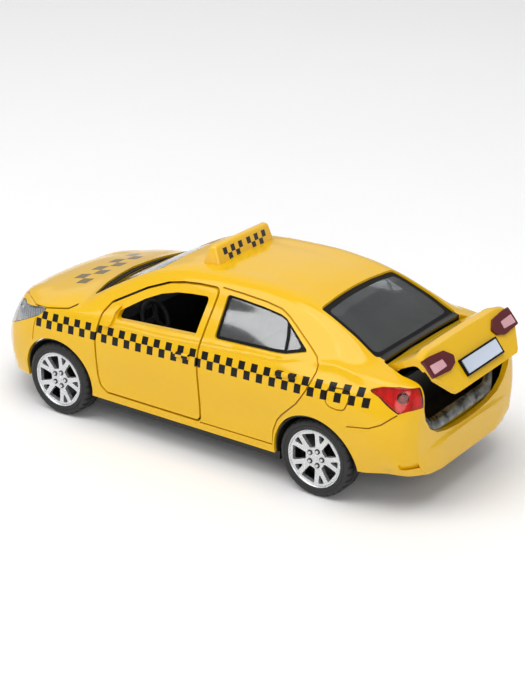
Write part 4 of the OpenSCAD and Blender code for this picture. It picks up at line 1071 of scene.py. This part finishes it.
# %% Wheels
WHEEL_Y, RIM_R, SPOKES = 24.0, 6.5, 5
BARREL = [(5.75, -5.1), (6.0, -5.1), (6.0, -0.6), (6.5, -0.55), (6.5, -0.16), (6.45, -0.05), (6.36, 0),
          (6.24, 0), (6.16, -0.06), (6.1, -0.2), (5.95, -0.4), (5.75, -1.2)]
PLATE = [(0.01, -0.5), (0.55, -0.52), (0.62, -0.62), (2.4, -0.58), (4.4, -0.42), (6.12, -0.26), (6.12, -1.3),
         (0.01, -1.5)]
BACKING = [(0.01, -2.7), (1.9, -2.7), (2.0, -3.1), (4.4, -3.1), (4.5, -2.9), (5.38, -2.9), (5.38, -3.6),
           (0.01, -3.6)]
TYRE = [
    (6.05, -5.6), (7.6, -5.6), (8.2, -5.45), (8.55, -5.1), (8.65, -4.7), (8.65, -3.78), (8.38, -3.72),
    (8.38, -3.48), (8.65, -3.42), (8.65, -2.18), (8.38, -2.12), (8.38, -1.88), (8.65, -1.82), (8.65, -0.9),
    (8.55, -0.5), (8.2, -0.14), (7.75, 0), (7.5, -0.01), (7.44, -0.09), (7.34, -0.09), (7.28, 0),
    (6.9, -0.05), (6.56, -0.2), (6.56, -0.57), (6.05, -0.57),
]
WIDE_HOLE = [(0.38, 0.235), (0.6, 0.25), (0.885, 0.245)]
SLIM_HOLE = [(0.6, 0.03), (0.885, 0.112)]
silver = finish("silver_rim", grained("C4C7CA", "DCDEE0", 300.0, (0.2, 0.32), 0.01), Metallic=0.7)
rubber = finish("tyre_rubber", grained("19191A", "242425", 420.0, (0.5, 0.7), 0.2))
# Near-black for the wheel: a black backing behind the spoke holes, and painted shade in the barrel's deep
# part and on the nut seats.
black_back_and_wheel_shade = finish("black_back_and_painted_wheel_shade", grained("050506", "0E0E0F", 300.0, (0.35, 0.55), 0.1))
PITCH, TREAD_STEPS, NUT_R = 2 * pi / SPOKES, 96, 1.65


def hole(shares, turn):
    half = [(r * RIM_R * cos(a * PITCH), r * RIM_R * sin(a * PITCH)) for r, a in shares]
    outline = rounded(half + [(u, -w) for u, w in reversed(half)], 0.35)
    c, s = cos(turn), sin(turn)
    return [(u * c - w * s, u * s + w * c) for u, w in outline]


def turned(name, profile, steps=80):
    bm = bmesh.new()
    lathe(bm, profile, steps)
    return shaped(bm, name)


def spoke_plate():
    holes = [hole(WIDE_HOLE, k * PITCH) for k in range(SPOKES)]
    holes += [hole(SLIM_HOLE, (k + 0.5) * PITCH) for k in range(SPOKES)]
    return carve(turned("spokes", PLATE), tool([(points, "z", -3.0, 1.0) for points in holes]))


def rim_body():
    """The barrel with its wheel nuts; the seats of the nuts and the deep part are near-black, as painted
    shade.
    """
    bm = bmesh.new()
    lathe(bm, BARREL)
    for k in range(SPOKES):
        turn = (k + 0.5) * PITCH
        spot = Vector((NUT_R * cos(turn), NUT_R * sin(turn), -0.55))
        seat = round_bar(bm, spot, "z", 0.6, 0.12, 24)
        for face in {f for v in seat for f in v.link_faces}:
            face.material_index = 1
        nut = round_bar(bm, spot + Vector((0, 0, 0.08)), "z", 0.42, 0.4, 6, 0.34)
        bmesh.ops.rotate(bm, verts=nut, cent=spot, matrix=Matrix.Rotation(turn, 3, "Z"))
    for face in bm.faces:
        if face.calc_center_median().z < -0.9:
            face.material_index = 1
    return shaped(bm, "barrel")


def tyre_body():
    """The tyre, with a sunk block at every third step of both shoulders."""
    bm = bmesh.new()
    lathe(bm, TYRE, TREAD_STEPS)
    shoulder = []
    for face in bm.faces:
        middle = face.calc_center_median()
        turn = round((atan2(middle.y, middle.x) / (2 * pi) * TREAD_STEPS) - 0.5)
        outer = 8.3 < hypot(middle.x, middle.y) and (middle.z > -1.5 or middle.z < -4.1)
        if outer and turn % 3 == 0:
            shoulder.append(face)
    bmesh.ops.inset_individual(bm, faces=shoulder, thickness=0.06, depth=-0.14)
    return shaped(bm, "tread")


def wheels():
    shapes = [(spoke_plate(), "spokes", [silver], "silver_rim", None),
              (rim_body(), "rim", [silver, black_back_and_wheel_shade], "silver_rim", "_rim"),
              (turned("backing", BACKING, 48), "wheel_back", [black_back_and_wheel_shade], "black_plastic", None),
              (tyre_body(), "tyre_rubber", [rubber], "tyre", "_tyre")]
    for end, x in (("front", FRONT_X), ("rear", REAR_X)):
        for hand, way in (("left", 1), ("right", -1)):
            spot = Matrix.Translation((x, way * WHEEL_Y, WHEEL_Z))
            spot = spot @ Matrix.Rotation(-way * pi / 2, 4, "X")
            wheel = end + "_" + hand
            for shape, name, looks, slot, node in shapes:
                made = linked(wheel + "_" + name, shape.data.copy())
                made.data.transform(spot)
                place(made, end + "_axle", looks, [wheel + node] if node else ())
                if name == "spokes":
                    soft_edge(made, 0.16, 30)
    for shape, *_ in shapes:
        bpy.data.objects.remove(shape)


wheels()

# %% [markdown]
# Behind each wheel the base rises in a black well. It is half a drum: an arc of the arch pushed inwards, with
# an inner wall, so that no daylight shows between tyre and arch.

# %% Wheel wells
WELL_R, WELL_THICK, WELL_IN = 9.85, 0.25, 17.0


def arc(x, radius, turn):
    return [(x + radius * cos(a), WHEEL_Z + radius * sin(a)) for a in turn]


def wheel_wells():
    bm = bmesh.new()
    turn = np.radians(np.linspace(-8, 188, 41))
    for x in (FRONT_X, REAR_X):
        for way in (1, -1):
            outer, inner = arc(x, WELL_R, turn), arc(x, WELL_R - WELL_THICK, turn[::-1])
            push(bm, outer + inner, "y", way * WELL_IN, way * SIDE_OUT)
            push(bm, outer, "y", way * (WELL_IN - 0.3), way * (WELL_IN + 0.05))
    for vert in bm.verts:
        if abs(vert.co.y) > 20:
            edge = flank_y((vert.co.x - MID_X) / HALF_L, vert.co.z) - 0.5
            vert.co.y = copysign(edge, vert.co.y)
    # The wells are black like the base, and the black also stands in for the shade under the arch.
    place(shaped(bm, "wheel_wells"), "car", [black_and_painted_shade])


wheel_wells()

# %% [markdown]
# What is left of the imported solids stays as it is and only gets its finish: the cabin, the base, the motor
# and the small steel parts. The strip on the boot sill is made anew, because it is curved and plated.

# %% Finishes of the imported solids
cabin = finish("cabin_plastic", grained("17181A", "222326", 260.0, (0.5, 0.7), 0.3))
seat_grain = finish("seat_plastic", grained("1C1D20", "2A2B2F", 900.0, (0.6, 0.8), 0.5, 2.0))
base_black = finish("base_plastic", grained("101011", "1B1B1C", 320.0, (0.4, 0.6), 0.25))
tray_black = finish("tray_plastic", grained("0D0D0E", "191919", 320.0, (0.35, 0.6), 0.3))
steel = finish("drawn_steel", grained("9A9DA0", "C4C7CA", 700.0, (0.18, 0.35), 0.1), Metallic=1.0)
spring = finish("blued_spring", grained("4A5260", "6C7482", 500.0, (0.25, 0.45), 0.1), Metallic=1.0)
gear_white = finish("gear_plastic", grained("D8D3C4", "E8E4D8", 260.0, (0.35, 0.55), 0.1))


def mottled_painted_reflections(at):
    """Vacuum-plated strip: bright and dark patches painted into its colour as reflections, over an uneven
    gloss and relief.
    """
    patch = at.noise(420.0, 4.0)
    # Bright and dark patches in the colour are painted reflections.
    painted_reflection_patches = (patch - 0.5) * 3.0 + 0.5
    return {"Base_Color": painted_reflection_patches.colours(rgb("2E302E"), rgb("9A9D98")), "Roughness": 0.15 + patch * 0.3,
            "Normal": patch.bump(0.35, 0.15)}


plated = finish("plated_strip", mottled_painted_reflections, Metallic=0.8)
STRIP_X, STRIP_Z, STRIP_HALF, STRIP_DEEP, STRIP_RISE = -54.6, 16.1, 14.9, 1.5, 1.7
STRIP_CROWN, STRIP_FLAT, STRIP_END = 0.35, 0.74, 4.2


def sill_strip():
    """A sloping bright band along the boot sill, turned up at both ends."""
    bm = bmesh.new()
    bmesh.ops.create_grid(bm, x_segments=60, y_segments=6, size=1)
    for vert in bm.verts:
        u, w = vert.co.x, (vert.co.y + 1) / 2
        rise = STRIP_END * max(0.0, (abs(u) - STRIP_FLAT) / (1 - STRIP_FLAT)) ** 1.7
        crown = STRIP_CROWN * (1 - (2 * w - 1) ** 2)
        vert.co = (STRIP_X + STRIP_DEEP * w - crown + 0.35 * rise, STRIP_HALF * u,
                   STRIP_Z + STRIP_RISE * w + rise + crown)
    bmesh.ops.recalc_face_normals(bm, faces=bm.faces)
    bmesh.ops.solidify(bm, geom=bm.faces[:], thickness=0.45)
    return shaped(bm, "sill_strip")


place(sill_strip(), "car", [plated], ["boot_sill_strip"])
LOOKS = (
    (cabin, "interior_tub dashboard steering_wheel"),
    (seat_grain, "left_seat right_seat rear_bench"),
    (base_black, "base_plate front_grille"),
    (tray_black, "boot_tray"),
    (steel, "base_screws left_door_pin right_door_pin boot_hinge_rod front_axle rear_axle"),
    (gear_white, "motor_left_case motor_right_case axle_pinion spring_gear"),
    (spring, "mainspring"),
)
for look, nodes in LOOKS:
    for node in nodes.split():
        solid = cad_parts[node]
        if not solid.material_slots:
            solid.data.materials.append(look)
        for kept in solid.material_slots:
            kept.material = look
    print("finished", nodes)

# %% [markdown]
# The studio is a pale floor under a white sky, with a broad soft light overhead and weaker ones around it.

# %% Studio
def studio_floor():
    bm = bmesh.new()
    bmesh.ops.create_grid(bm, x_segments=1, y_segments=1, size=3)
    mesh = bpy.data.meshes.new("floor")
    bm.to_mesh(mesh)
    bm.free()
    mesh.materials.append(finish("pale_floor", grained("F4F4F4", "F8F8F8", 8.0, (0.6, 0.7), 0.02)))
    linked("floor", mesh)


def area_light(name, at, size, power):
    light = bpy.data.lights.new(name, "AREA")
    light.shape, light.size, light.energy = "DISK", size, power
    made = linked(name, light)
    made.location = at
    made.rotation_euler = (-Vector(at)).to_track_quat("-Z", "Y").to_euler()


studio_floor()
bpy.context.scene.view_settings.view_transform = "Standard"
world = bpy.data.worlds.new("studio")
bpy.context.scene.world = world
world.use_nodes = True
sky = world.node_tree.nodes["Background"].inputs
sky["Color"].default_value, sky["Strength"].default_value = (1, 1, 1, 1), 0.45
area_light("overhead", (-0.1, 0.15, 0.9), 0.8, 4.3)
area_light("behind_left", (-0.7, 0.7, 0.45), 0.6, 2.4)
area_light("front_left", (0.372, 0.476, 0.694), 0.6, 2.2)
area_light("far_fill", (1.0, -1.2, 1.3), 2.0, 3.5)
print("lights", len(bpy.data.lights))
